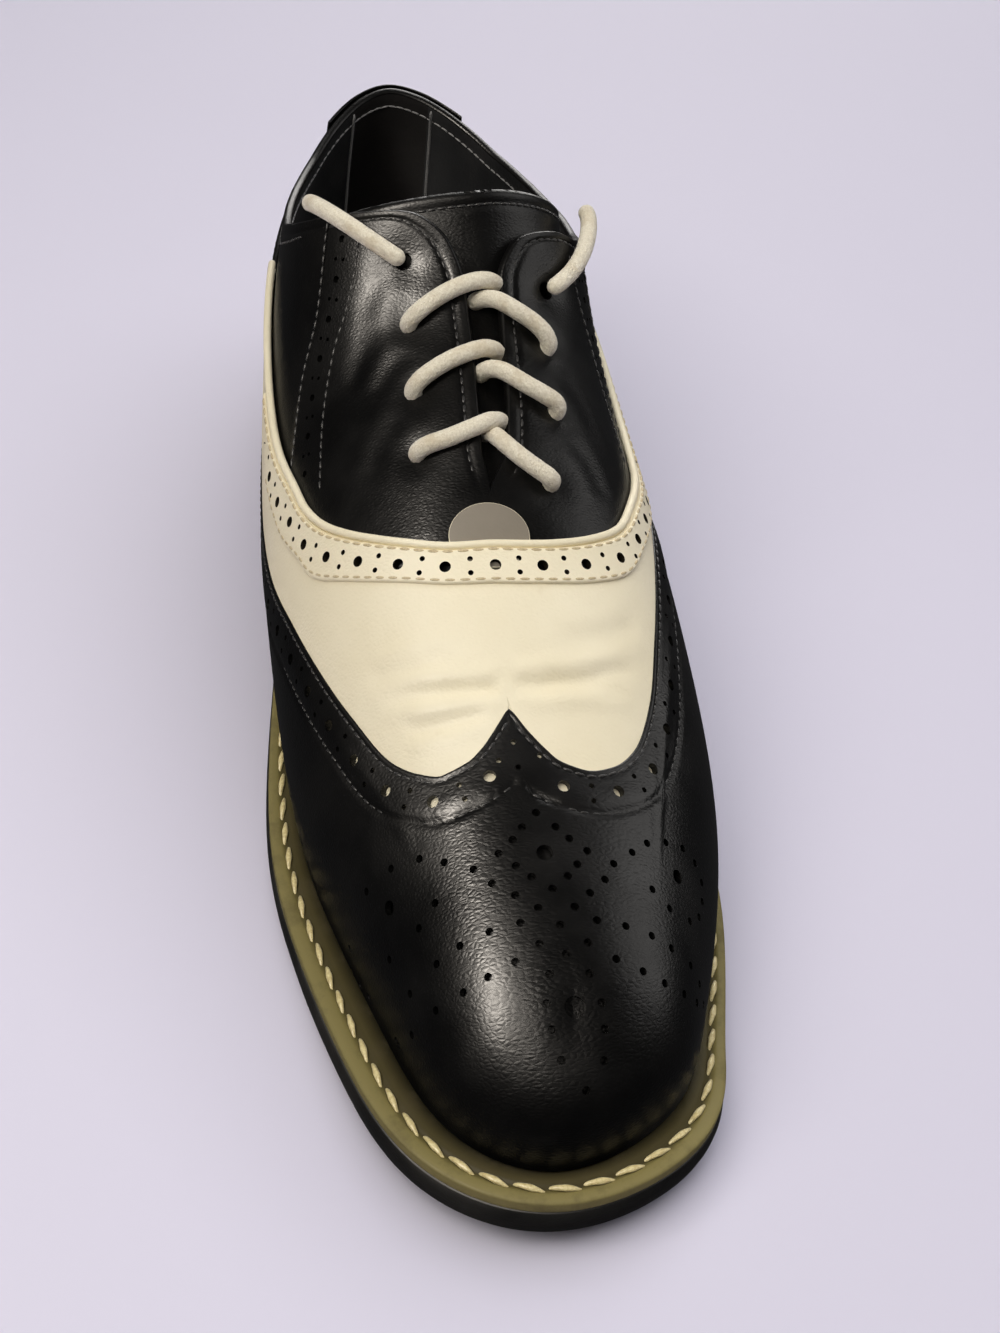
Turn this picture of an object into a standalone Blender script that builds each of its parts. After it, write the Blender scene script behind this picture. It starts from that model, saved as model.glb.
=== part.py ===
"""A right wingtip oxford: welted sole with a heel, a hollow upper shaped on a last, overlays and laces.

Metres, +Z up. The toe points to -Y, the medial side is +X and the shoe stands on the plane Z = 0.
Tables are in millimetres. A place on the last is a station, counted in sections from 0 at the heel to 9 at
the toe, and a share, from -1 at the lateral feather edge over 0 on the ridge to 1 at the medial feather edge.
"""

import bmesh
import bpy
import numpy as np
from mathutils import Vector

MM = 0.001

# Driving sizes, millimetres
SOLE_LENGTH = 306.0
WALL = 2.2
GAP = 0.3
OVERLAY_GAP = 0.95
WING_GAP = 0.7
TONGUE_GAP = 1.6
OUTSOLE_THICK = 7.7
WELT_THICK = 2.7
WELT_ROUND = 1.0
WELT_INSET = 2.8
INSOLE_INSET = 3.3
INSOLE_RISE = 2.5
SOLE_EDGE_BULGE = 0.5
SOLE_EDGE_ROUND = 1.2
HEEL_TAPER = 2.0
HEEL_BREAST = 2.05
VAMP_THICK = 1.2
WING_THICK = 1.4
COUNTER_THICK = 1.4
BAND_THICK = 0.9
TAB_THICK = 0.9
TONGUE_THICK = 2.0
PIPING_RADIUS = 1.2
LACE_RADIUS = 2.15
EYELET_RADIUS = 2.2
EYELET_CUT = 13.0
HEEL_Y = SOLE_LENGTH / 2
MIDDLE_X = 0.5
TOE_STATION = 9.0
LAST_LOW = 0.98
SLIT_END = 4.75
RING_STEP = 0.25

# One row for each section of the last. Along is measured from the back of the sole, x from the last's middle.
# The feather edge is where upper and welt meet, the ridge is the top line, and fall is its slope to the toe.
# Rise and flare send the wall up and out from the feather edge, and crown is how far it holds its width.
SECTION_COLUMNS = (
    "lat_along", "lat_x", "med_along", "med_x", "feather_z", "welt_lat", "welt_med", "ridge_along", "ridge_x",
    "ridge_z", "fall", "rise_lat", "rise_med", "flare_lat", "flare_med", "crown_lat", "crown_med",
)
SECTIONS = {
    "heel_back": (5.5, -5, 5.5, -5, 31, 5, 5, 60, -4, 165, 0, 30, 30, 5, 5, 0.95, 0.95),
    "heel_side": (28, -30.5, 28, 22, 31, 5, 5, 75, -3, 165, 0, 30, 30, 2, 8, 0.82, 0.97),
    "ankle": (72, -36, 70, 26.5, 30, 5, 5, 92, -1, 160, 0.1, 32, 32, 12, 17, 0.99, 1.1),
    "waist": (122, -37.5, 116, 26, 23, 5, 5, 118, 1.5, 115, 0.5, 34, 36, 22, 28, 0.88, 1.0),
    "instep": (162, -40.8, 158, 34.2, 15, 6.6, 6, 150, 0, 98, 0.48, 32, 34, 17.5, 22, 0.8, 0.9),
    "ball": (200, -42, 206, 43.2, 10.5, 9, 6.3, 184, -3.5, 83, 0.44, 28, 28, 9, 10, 0.76, 0.8),
    "vamp": (230.5, -37.3, 241.5, 39.6, 10.5, 10.8, 6.9, 218, -4.5, 68, 0.38, 24, 24, 4.5, 5, 0.76, 0.8),
    "toe_box": (260.9, -29.9, 267.8, 31.3, 13.5, 11.4, 8.2, 248, -2, 58, 0.3, 21, 21, 2, 2.5, 0.78, 0.8),
    "toe_corner": (285.3, -20.6, 285.7, 21, 16.5, 10.3, 10.3, 269, 0, 52, 0.33, 19, 19, 1.5, 2, 0.82, 0.82),
    "toe_tip": (296.6, -1.5, 296.6, -1.5, 18.5, 8.9, 8.9, 279, 0.5, 47, 0.45, 17, 17, 1.5, 1.5, 0.86, 0.86),
}

# Share of the collar and facing edge at each station: the opening closes at the end of the lacing slit.
OPENING_COLUMNS = ("station", "lateral", "medial")
OPENING = (
    (0.0, 0.588, 0.588),
    (0.25, 0.595, 0.595),
    (0.5, 0.608, 0.608),
    (0.75, 0.622, 0.623),
    (1.0, 0.634, 0.635),
    (1.25, 0.637, 0.637),
    (1.5, 0.632, 0.632),
    (1.75, 0.618, 0.619),
    (2.0, 0.592, 0.594),
    (2.25, 0.525, 0.558),
    (2.4, 0.465, 0.518),
    (2.55, 0.383, 0.46),
    (2.7, 0.27, 0.385),
    (2.85, 0.13, 0.25),
    (3.0, 0.07, 0.12),
    (3.2, 0.045, 0.066),
    (4.4, 0.024, 0.042),
    (4.75, 0.0, 0.0),
)

# Station of each panel edge at a share of the way from the ridge to the feather edge.
EDGE_COLUMNS = ("share", "lateral", "medial")
WING_EDGE = (
    (0.0, 6.08, 6.08),
    (0.06, 6.18, 6.25),
    (0.14, 6.265, 6.255),
    (0.22, 6.24, 6.1),
    (0.29, 6.12, 5.84),
    (0.345, 5.97, 5.42),
    (0.38, 5.83, 5.0),
    (0.45, 5.39, 4.45),
    (0.53, 4.87, 4.03),
    (0.6, 4.43, 3.72),
    (0.7, 3.8, 3.2),
    (0.8, 2.6, 2.5),
    (0.84, 1.86, 1.86),
    (1.0, 1.86, 1.86),
)
THROAT_EDGE = (
    (-0.12, 5.2, 5.22),
    (0.0, 5.065, 5.065),
    (0.12, 4.94, 4.92),
    (0.22, 4.75, 4.74),
    (0.31, 4.56, 4.54),
    (0.385, 4.37, 4.29),
    (0.45, 4.165, 4.07),
    (0.5, 3.93, 3.86),
    (0.53, 3.7, 3.66),
    (0.6, 3.2, 3.06),
    (0.67, 2.4, 2.4),
    (0.7, 1.86, 1.86),
    (1.0, 1.86, 1.86),
)
BAND_WIDTH = (
    (0.0, 0.17, 0.17),
    (0.22, 0.175, 0.17),
    (0.33, 0.2, 0.17),
    (0.42, 0.25, 0.17),
    (0.49, 0.35, 0.2),
    (0.54, 0.46, 0.22),
    (0.6, 0.54, 0.24),
    (0.7, 0.54, 0.25),
)
BAND_END = 0.64
PIPING_BEND = 0.63
PIPING_END = 0.695
PIPING_TUCK = 0.027
EDGE_STEP = 0.008
EDGE_MARGIN = 0.012

COUNTER_FRONT = 1.845
COUNTER_TOP = {"back": 0.66, "front": 0.715}
HEEL_TAB = {"stations": 0.6, "low": 0.66, "low_ends": 0.652}
THROAT_TAB = {"centre": -0.014, "half": 0.088, "tuck": 0.075, "height": 0.2}
TONGUE = {"top": 2.8, "top_fall": 1.85, "bottom": 5.15}
TONGUE_HALF = ((2.3, 0.42, 0.47), (2.75, 0.41, 0.45), (3.2, 0.34, 0.35), (3.7, 0.29, 0.29), (5.2, 0.29, 0.29))


# Eyelets and lace bars: station and share on each side, and of the middle where the bar crosses the slit.
LACE_COLUMNS = ("lat_station", "lat_share", "mid_station", "mid_share", "med_station", "med_share")
LACE_ROWS = (
    (4.23, -0.176, 4.2, 0.01, 4.5, 0.134),
    (3.79, -0.166, 3.77, 0.012, 4.01, 0.174),
    (3.31, -0.172, 3.26, 0.012, 3.54, 0.19),
)
TOP_EYELETS = ((2.99, -0.176), (3.15, 0.22))

# A lace bar arches between its eyelets: extra lift in millimetres, and its arms bow back by some stations.
LACE_ARCH = {"arm_lift": 0.8, "middle_lift": 1.0, "lateral_bow": 0.04, "medial_bow": 0.06}

# Free lace ends, from the top eyelets over the collar edge and down inside: lift is off the last, millimetres.
LACE_END_COLUMNS = ("station", "share", "lift")
LACE_ENDS = {
    "lace_end_lateral": (
        (2.99, -0.176, 2.55),
        (2.9, -0.214, 2.7),
        (2.8, -0.256, 2.8),
        (2.7, -0.298, 2.75),
        (2.6, -0.34, 2.5),
        (2.51, -0.378, 1.8),
        (2.43, -0.412, 0.5),
        (2.36, -0.442, -1.4),
    ),
    "lace_end_medial": (
        (3.15, 0.22, 2.55),
        (3.08, 0.25, 2.75),
        (2.99, 0.288, 3.0),
        (2.88, 0.328, 3.3),
        (2.77, 0.362, 3.5),
        (2.66, 0.39, 3.6),
        (2.56, 0.413, 3.3),
        (2.47, 0.434, 2.4),
    ),
}

COLOURS = {
    "black_leather": ((0.012, 0.012, 0.013), 0.38),
    "cream_leather": ((0.78, 0.74, 0.64), 0.5),
    "sole_rubber": ((0.014, 0.014, 0.014), 0.6),
    "welt_olive": ((0.23, 0.19, 0.09), 0.55),
    "insole_lining": ((0.05, 0.045, 0.04), 0.8),
    "lace_cotton": ((0.74, 0.68, 0.55), 0.9),
}


def column(rows, names, name):
    place = names.index(name)
    return np.array([row[place] for row in rows], float)


def loop_column(lateral, medial):
    """A section column as a closed loop: heel to toe on the lateral side, back again on the medial side."""
    rows = list(SECTIONS.values())
    forward = column(rows, SECTION_COLUMNS, lateral)
    back = column(rows, SECTION_COLUMNS, medial)
    return np.concatenate([forward, back[-2:0:-1]])


LOOP = {
    "feather_along": loop_column("lat_along", "med_along"),
    "feather_x": loop_column("lat_x", "med_x") - MIDDLE_X,
    "feather_z": loop_column("feather_z", "feather_z"),
    "welt": loop_column("welt_lat", "welt_med"),
    "ridge_along": loop_column("ridge_along", "ridge_along"),
    "ridge_x": loop_column("ridge_x", "ridge_x") - MIDDLE_X,
    "ridge_z": loop_column("ridge_z", "ridge_z"),
    "fall": loop_column("fall", "fall"),
    "rise": loop_column("rise_lat", "rise_med"),
    "flare": loop_column("flare_lat", "flare_med"),
    "crown": loop_column("crown_lat", "crown_med"),
}
LOOP_SIZE = len(LOOP["feather_z"])


def periodic_spline(values, place):
    """Cubic spline with smooth curvature through values at 0, 1, 2 and on round a closed loop."""
    count = len(values)
    shift = np.roll(np.eye(count), 1, axis=1)
    bend = np.roll(values, -1) - 2 * values + np.roll(values, 1)
    second = np.linalg.solve(4 * np.eye(count) + shift + shift.T, 6 * bend)
    whole = np.floor(place)
    part = place - whole
    near = whole.astype(int) % count
    far = (near + 1) % count
    rest = 1 - part
    straight = values[near] * rest + values[far] * part
    return straight + (second[near] * (rest**3 - rest) + second[far] * (part**3 - part)) / 6


def monotone_curve(places, values, place):
    """Smooth curve through the rows of a table that never overshoots between two of them."""
    step = np.diff(places)
    slope = np.diff(values) / step
    tangent = np.zeros(len(values))
    same = slope[:-1] * slope[1:] > 0
    harmonic = 2 * slope[:-1] * slope[1:] / np.where(same, slope[:-1] + slope[1:], 1)
    tangent[1:-1] = np.where(same, harmonic, 0)
    index = np.clip(np.searchsorted(places, place) - 1, 0, len(step) - 1)
    part = np.clip((place - places[index]) / step[index], 0, 1)
    rise = values[index + 1] - values[index]
    start = tangent[index] * step[index]
    end = tangent[index + 1] * step[index]
    square = part**2 * (3 * rise - 2 * start - end)
    return values[index] + part * start + square + part**3 * (start + end - 2 * rise)


def side_curve(table, names, place, side_share):
    """Table value at a place, from the lateral or the medial column by the sign of the share."""
    places = column(table, names, names[0])
    lateral = monotone_curve(places, column(table, names, "lateral"), place)
    medial = monotone_curve(places, column(table, names, "medial"), place)
    return np.where(side_share <= 0, lateral, medial)


def edge_station(table, share):
    return side_curve(table, EDGE_COLUMNS, np.abs(share), share)


def loop_values(place):
    return {name: periodic_spline(values, place) for name, values in LOOP.items()}


def outward(place):
    """Level direction out of the feather outline, square to its tangent."""
    small = 1e-3
    side, along = LOOP["feather_x"], LOOP["feather_along"]
    across = periodic_spline(side, place + small) - periodic_spline(side, place - small)
    ahead = periodic_spline(along, place - small) - periodic_spline(along, place + small)
    length = np.hypot(across, ahead)
    return np.stack([ahead / length, -across / length, np.zeros_like(length)], -1)


def last_point(station, share):
    """Point of the last: each half section is a cubic curve from the feather edge up to the ridge."""
    place = np.where(share <= 0, station, LOOP_SIZE - station)
    value = loop_values(place)
    feather = np.stack([value["feather_x"], HEEL_Y - value["feather_along"], value["feather_z"]], -1)
    ridge = np.stack([value["ridge_x"], HEEL_Y - value["ridge_along"], value["ridge_z"]], -1)
    wall = feather + outward(place) * value["flare"][..., None]
    wall[..., 2] += value["rise"]
    reach = (feather - ridge) * value["crown"][..., None]
    reach[..., 2] = value["fall"] * reach[..., 1]
    up = (1 - np.abs(share))[..., None]
    down = 1 - up
    return down**3 * feather + 3 * down**2 * up * wall + 3 * down * up**2 * (ridge + reach) + up**3 * ridge


def last_normal(station, share):
    """Outward normal of the last, taken a little beside the pole where all sections meet at the toe."""
    small = 1e-3
    pole = (station > TOE_STATION - 0.2) & (np.abs(share) < 0.05)
    share = np.where(pole, np.where(share <= 0, -0.05, 0.05), share)
    ahead = last_point(station + small, share) - last_point(station - small, share)
    up = last_point(station, share + small) - last_point(station, share - small)
    normal = np.cross(ahead, up)
    return normal / np.linalg.norm(normal, axis=-1, keepdims=True)


def on_last(station, share, lift=0.0):
    station, share = np.broadcast_arrays(np.asarray(station, float), np.asarray(share, float))
    return last_point(station, share) + lift * last_normal(station, share)


def principled(name):
    colour, roughness = COLOURS[name]
    material = bpy.data.materials.new(name)
    material.use_nodes = True
    shader = material.node_tree.nodes["Principled BSDF"]
    shader.inputs["Base Color"].default_value = (*colour, 1)
    shader.inputs["Roughness"].default_value = roughness
    shader.inputs["Metallic"].default_value = 0
    return material


def add_object(name, data, collection, material):
    made = bpy.data.objects.new(name, data)
    collection.objects.link(made)
    made.data.materials.append(material)
    return made


def mesh_from(name, points, faces):
    """Mesh of points in millimetres, with points that coincide made one and flat faces dropped."""
    mesh = bpy.data.meshes.new(name)
    mesh.from_pydata((np.reshape(points, (-1, 3)) * MM).tolist(), [], faces)
    work = bmesh.new()
    work.from_mesh(mesh)
    bmesh.ops.remove_doubles(work, verts=work.verts, dist=0.02 * MM)
    bmesh.ops.dissolve_degenerate(work, edges=work.edges, dist=0.001 * MM)
    work.to_mesh(mesh)
    work.free()
    return mesh


def grid_faces(rows, columns, closed=False):
    """Quads of a grid stored row by row. Closed joins the last row to the first."""
    faces = []
    for row in range(rows if closed else rows - 1):
        after = (row + 1) % rows
        for place in range(columns - 1):
            faces.append(
                (
                    row * columns + place,
                    after * columns + place,
                    after * columns + place + 1,
                    row * columns + place + 1,
                )
            )
    return faces


def shell(name, points, faces, thick, collection, material):
    """Open surface given a thickness: outward where thick is positive, inward where it is negative."""
    made = add_object(name, mesh_from(name, points, faces), collection, material)
    wall = made.modifiers.new("wall", "SOLIDIFY")
    wall.thickness = abs(thick) * MM
    wall.offset = 1 if thick > 0 else -1
    wall.use_even_offset = True
    return made


def panel(name, stations, shares, lift, thick, collection, material):
    """Overlay between two edges: a grid of stations (rows) and shares (columns) lifted off the last."""
    points = on_last(stations, shares, lift)
    return shell(name, points, grid_faces(*points.shape[:2]), thick, collection, material)


def sole_ring(places, out, height):
    """Loop round the sole, out from the feather outline and at a height above the feather edge."""
    value = loop_values(places)
    ring = np.stack([value["feather_x"], HEEL_Y - value["feather_along"], value["feather_z"]], -1)
    ring += outward(places) * np.broadcast_to(out, places.shape)[:, None]
    ring[:, 2] += height
    return ring


def ladder(count, start, turn):
    """Cap over a loop of points, as rungs from the lateral to the medial side."""
    faces = []
    for place in range(count // 2):
        left, right = start + place, start + place + 1
        far_right, far_left = start + count - 1 - place, start + (count - place) % count
        corners = [left, right, far_right, far_left]
        if place == 0:
            corners = [left, right, far_right]
        if right == far_right:
            corners = [left, right, far_left]
        faces.append(tuple(corners[::-1] if turn else corners))
    return faces


def plate(name, rings, collection, material):
    """Solid through loops from the bottom up, closed by a ladder of faces at each end."""
    count = len(rings[0])
    faces = []
    for level in range(len(rings) - 1):
        for place in range(count):
            after = (place + 1) % count
            low, high = level * count, (level + 1) * count
            faces.append((low + place, low + after, high + after, high + place))
    faces += ladder(count, 0, True)
    faces += ladder(count, (len(rings) - 1) * count, False)
    return add_object(name, mesh_from(name, np.concatenate(rings), faces), collection, material)


def tube(name, points, radius, resolution, collection, material):
    """Round cord along a list of points in millimetres."""
    curve = bpy.data.curves.new(name, "CURVE")
    curve.dimensions = "3D"
    curve.bevel_depth = radius * MM
    curve.bevel_resolution = resolution
    curve.use_fill_caps = True
    spline = curve.splines.new("POLY")
    spline.points.add(len(points) - 1)
    for point, place in zip(spline.points, points):
        point.co = (*(np.asarray(place) * MM), 1)
    return add_object(name, curve, collection, material)


def smooth_route(points, count):
    """Points read from a smooth curve through a route's own points."""
    points = np.asarray(points, float)
    padded = np.concatenate([[2 * points[0] - points[1]], points, [2 * points[-1] - points[-2]]])
    place = np.linspace(0, len(points) - 1, count)
    index = np.clip(place.astype(int), 0, len(points) - 2)
    part = (place - index)[:, None]
    before, start, end, after = (padded[index + step] for step in range(4))
    bend = 2 * before - 5 * start + 4 * end - after
    twist = 3 * start - before - 3 * end + after
    return 0.5 * (2 * start + (end - before) * part + bend * part**2 + twist * part**3)


def make_sole(parts, materials):
    """Outsole with arch, toe spring and a flat tread, the heel under it and the welt and insole on it."""
    places = np.arange(0, LOOP_SIZE, RING_STEP)
    value = loop_values(places)
    welt = value["welt"]
    top = -WELT_THICK - 2 * GAP
    full = OUTSOLE_THICK + WELT_THICK + 2 * GAP
    tread = np.maximum(value["feather_z"] - full, 0) - value["feather_z"]
    middle = (top + tread) / 2
    rings = [
        sole_ring(places, welt - SOLE_EDGE_ROUND, tread),
        sole_ring(places, welt, tread + SOLE_EDGE_ROUND),
        sole_ring(places, welt + SOLE_EDGE_BULGE, middle),
        sole_ring(places, welt, top),
    ]
    plate("outsole", rings, parts, materials["sole_rubber"])

    low = -WELT_THICK - GAP
    profile = (
        (-WELT_INSET, low),
        (welt, low),
        (welt, -GAP - WELT_ROUND),
        (welt - WELT_ROUND, -GAP),
        (-WELT_INSET, -GAP),
        (-WELT_INSET, low),
    )
    rings = np.stack([sole_ring(places, out, height) for out, height in profile], 1)
    faces = grid_faces(len(places), len(profile), closed=True)
    add_object("welt", mesh_from("welt", rings, faces), parts, materials["welt_olive"])

    rings = [sole_ring(places, -INSOLE_INSET, top + GAP), sole_ring(places, -INSOLE_INSET, INSOLE_RISE)]
    plate("insole", rings, parts, materials["insole_lining"])

    back = np.linspace(0, HEEL_BREAST, 8)
    around = np.concatenate([back, LOOP_SIZE - back[:0:-1]])
    value = loop_values(around)
    seat = np.maximum(value["feather_z"] - full, 0) - GAP - value["feather_z"]
    rings = [
        sole_ring(around, value["welt"] - HEEL_TAPER - SOLE_EDGE_ROUND, -value["feather_z"]),
        sole_ring(around, value["welt"] - HEEL_TAPER, SOLE_EDGE_ROUND - value["feather_z"]),
        sole_ring(around, value["welt"] - SOLE_EDGE_ROUND, seat),
    ]
    plate("heel", rings, parts, materials["sole_rubber"])


def make_upper(parts, cutters, material):
    """Hollow shell from the feather edge to the collar and facings, with round eyelets cut through it."""
    heel = np.arange(0, 2.3, 0.25)
    collar = np.arange(2.4, 3.25, 0.15)
    facing = np.linspace(3.35, SLIT_END, 5)
    stations = np.concatenate([heel, collar, facing, np.linspace(5, TOE_STATION, 14)])
    shares = []
    for side in (-1, 1):
        edge = side_curve(OPENING, OPENING_COLUMNS, np.minimum(stations, SLIT_END), side)
        shares.append(side * (1 - np.linspace(0, 1, 12)[None, :] * (1 - edge[:, None])))
    lateral = on_last(stations[:, None], shares[0])
    medial = on_last(stations[:, None], shares[1])
    points = np.concatenate([lateral, medial[-2:0:-1]])
    upper = shell("upper", points, grid_faces(*points.shape[:2], closed=True), -WALL, parts, material)
    lateral_holes = [row[0:2] for row in LACE_ROWS]
    medial_holes = [row[4:6] for row in LACE_ROWS]
    for number, (station, share) in enumerate((*lateral_holes, *medial_holes, *TOP_EYELETS)):
        bpy.ops.mesh.primitive_cylinder_add(vertices=10, radius=EYELET_RADIUS * MM, depth=EYELET_CUT * MM)
        cutter = bpy.context.object
        cutter.name = f"eyelet_cutter_{number + 1}"
        cutter.location = on_last(station, share) * MM
        normal = Vector(last_normal(np.array(station), np.array(share)))
        cutter.rotation_euler = normal.to_track_quat("Z", "Y").to_euler()
        cutter.hide_render = True
        cutter.display_type = "WIRE"
        bpy.context.scene.collection.objects.unlink(cutter)
        cutters.objects.link(cutter)
        cut = upper.modifiers.new(cutter.name, "BOOLEAN")
        cut.operation = "DIFFERENCE"
        cut.object = cutter


def make_overlays(parts, materials):
    """Panels stitched on the upper: vamp with its brogued band, wing cap, heel counter and small tabs."""
    black, cream = materials["black_leather"], materials["cream_leather"]

    half = np.concatenate([np.linspace(0, 0.63, 10), np.linspace(0.69, LAST_LOW, 7)])
    shares = np.concatenate([-half[:0:-1], half])
    along = np.linspace(0, 1, 21)[:, None]
    start = edge_station(WING_EDGE, shares)
    stations = start + along * (TOE_STATION - start)
    panel("wing_cap", stations, shares[None, :], WING_GAP, WING_THICK, parts, black)

    half = np.concatenate([np.linspace(0, 0.63, 10), [0.69, 0.75, 0.8, 0.835]])
    shares = np.concatenate([-half[:0:-1], half])
    start = edge_station(THROAT_EDGE, shares) + 2 * EDGE_MARGIN
    beside = shares + np.sign(shares) * EDGE_STEP
    end = np.minimum(edge_station(WING_EDGE, shares), edge_station(WING_EDGE, beside)) - EDGE_MARGIN
    along = np.linspace(0, 1, 11)[:, None]
    panel("vamp", start + along * (end - start), shares[None, :], OVERLAY_GAP, VAMP_THICK, parts, cream)

    shares = np.linspace(-BAND_END, BAND_END, 31)
    start = edge_station(THROAT_EDGE, shares) + 4 * EDGE_MARGIN
    width = side_curve(BAND_WIDTH, EDGE_COLUMNS, np.abs(shares), shares)
    along = np.linspace(0, 1, 3)[:, None]
    lift = OVERLAY_GAP + VAMP_THICK + GAP
    panel("throat_band", start + along * width, shares[None, :], lift, BAND_THICK, parts, cream)

    half = np.concatenate([np.linspace(0, PIPING_BEND, 19), np.linspace(PIPING_BEND, PIPING_END, 7)[1:]])
    shares = np.concatenate([-half[:0:-1], half])
    inside = shares * (1 - PIPING_TUCK)
    edge = edge_station(THROAT_EDGE, shares) - 2 * EDGE_MARGIN
    route = on_last(edge, inside, OVERLAY_GAP + PIPING_RADIUS)
    tube("piping", route, PIPING_RADIUS, 1, parts, cream)

    places = np.linspace(-COUNTER_FRONT, COUNTER_FRONT, 15)
    top = COUNTER_TOP["back"] + (COUNTER_TOP["front"] - COUNTER_TOP["back"]) * (places / COUNTER_FRONT) ** 2
    climb = np.linspace(0, 1, 5)[:, None]
    counter_share = LAST_LOW - climb * (LAST_LOW - top)
    heel_panel("heel_counter", places, counter_share, COUNTER_THICK, parts, black)
    places = np.linspace(-HEEL_TAB["stations"], HEEL_TAB["stations"], 9)
    low = HEEL_TAB["low"] + (HEEL_TAB["low_ends"] - HEEL_TAB["low"]) * (places / HEEL_TAB["stations"]) ** 2
    top = side_curve(OPENING, OPENING_COLUMNS, np.abs(places), -places) + EDGE_MARGIN
    climb = np.linspace(0, 1, 3)[:, None]
    tab_share = low - climb * (low - top)
    heel_panel("heel_tab", places, tab_share, TAB_THICK, parts, black)

    turn = np.linspace(0, np.pi, 13)
    reach = np.linspace(0, 1, 4)[:, None]
    shares = THROAT_TAB["centre"] - THROAT_TAB["half"] * np.cos(turn)
    low = edge_station(THROAT_EDGE, shares) - THROAT_TAB["tuck"]
    stations = low - reach * THROAT_TAB["height"] * np.sin(turn)
    panel("throat_tab", stations[::-1, 1:-1], shares[None, 1:-1], OVERLAY_GAP, TAB_THICK, parts, cream)


def heel_panel(name, places, shares, thick, parts, material):
    """Overlay round the heel: places are stations, negative on the medial side."""
    side = np.where(places >= 0, -1, 1)
    points = on_last(np.abs(places)[None, :], side[None, :] * shares, OVERLAY_GAP)
    faces = grid_faces(*points.shape[:2])
    return shell(name, points, [face[::-1] for face in faces], thick, parts, material)


def make_tongue(parts, material):
    """Tongue under the facings, widest at its arched top edge."""
    part = np.linspace(-1, 1, 13)
    along = np.linspace(0, 1, 13)[:, None]
    centre = TONGUE["top"] + along * (TONGUE["bottom"] - TONGUE["top"])
    shares = part * side_curve(TONGUE_HALF, OPENING_COLUMNS, centre, part)
    stations = centre - TONGUE["top_fall"] * shares**2 * (1 - along)
    panel("tongue", stations, shares, -WALL - TONGUE_GAP, -TONGUE_THICK, parts, material)


def make_laces(parts, material):
    """Lace bars over the facings, and the two free ends that leave the top eyelets."""
    lift = LACE_RADIUS + OVERLAY_GAP
    arm_lift = lift + LACE_ARCH["arm_lift"]
    for number, row in enumerate(LACE_ROWS):
        place = dict(zip(LACE_COLUMNS, row))
        lateral_arm = (place["lat_station"] + place["mid_station"]) / 2 - LACE_ARCH["lateral_bow"]
        medial_arm = (place["med_station"] + place["mid_station"]) / 2 - LACE_ARCH["medial_bow"]
        route = [
            on_last(place["lat_station"], place["lat_share"], lift),
            on_last(lateral_arm, (place["lat_share"] + place["mid_share"]) / 2, arm_lift),
            on_last(place["mid_station"], place["mid_share"], lift + LACE_ARCH["middle_lift"]),
            on_last(medial_arm, (place["med_share"] + place["mid_share"]) / 2, arm_lift),
            on_last(place["med_station"], place["med_share"], lift),
        ]
        tube(f"lace_row_{number + 1}", smooth_route(route, 9), LACE_RADIUS, 2, parts, material)
    for name, rows in LACE_ENDS.items():
        station, share, lift = (column(rows, LACE_END_COLUMNS, title) for title in LACE_END_COLUMNS)
        route = on_last(station, share, lift[:, None])
        tube(name, smooth_route(route, 11), LACE_RADIUS, 2, parts, material)


def main():
    for item in list(bpy.data.objects):
        bpy.data.objects.remove(item)
    parts = bpy.data.collections.new("wingtip_oxford")
    cutters = bpy.data.collections.new("cutters")
    for collection in (parts, cutters):
        bpy.context.scene.collection.children.link(collection)
    bpy.context.view_layer.active_layer_collection = bpy.context.view_layer.layer_collection
    materials = {name: principled(name) for name in COLOURS}
    make_sole(parts, materials)
    make_upper(parts, cutters, materials["black_leather"])
    make_overlays(parts, materials)
    make_tongue(parts, materials["black_leather"])
    make_laces(parts, materials["lace_cotton"])


main()
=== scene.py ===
import math

import bpy
import numpy as np
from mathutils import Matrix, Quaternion, Vector


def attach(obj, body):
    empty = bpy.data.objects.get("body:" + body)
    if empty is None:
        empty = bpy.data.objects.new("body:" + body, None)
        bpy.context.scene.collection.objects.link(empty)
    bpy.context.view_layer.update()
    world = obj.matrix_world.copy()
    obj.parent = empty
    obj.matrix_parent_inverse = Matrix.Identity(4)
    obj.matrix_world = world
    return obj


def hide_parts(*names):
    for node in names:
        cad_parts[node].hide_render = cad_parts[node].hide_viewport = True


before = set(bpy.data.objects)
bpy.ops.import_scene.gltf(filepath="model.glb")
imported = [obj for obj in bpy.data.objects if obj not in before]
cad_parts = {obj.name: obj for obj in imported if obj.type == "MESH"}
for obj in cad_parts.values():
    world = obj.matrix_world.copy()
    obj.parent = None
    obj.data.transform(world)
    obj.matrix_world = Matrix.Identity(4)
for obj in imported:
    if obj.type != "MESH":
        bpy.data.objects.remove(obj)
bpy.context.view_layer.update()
mm = 0.001
print("frame loaded,", len(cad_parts), "solids")

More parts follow.
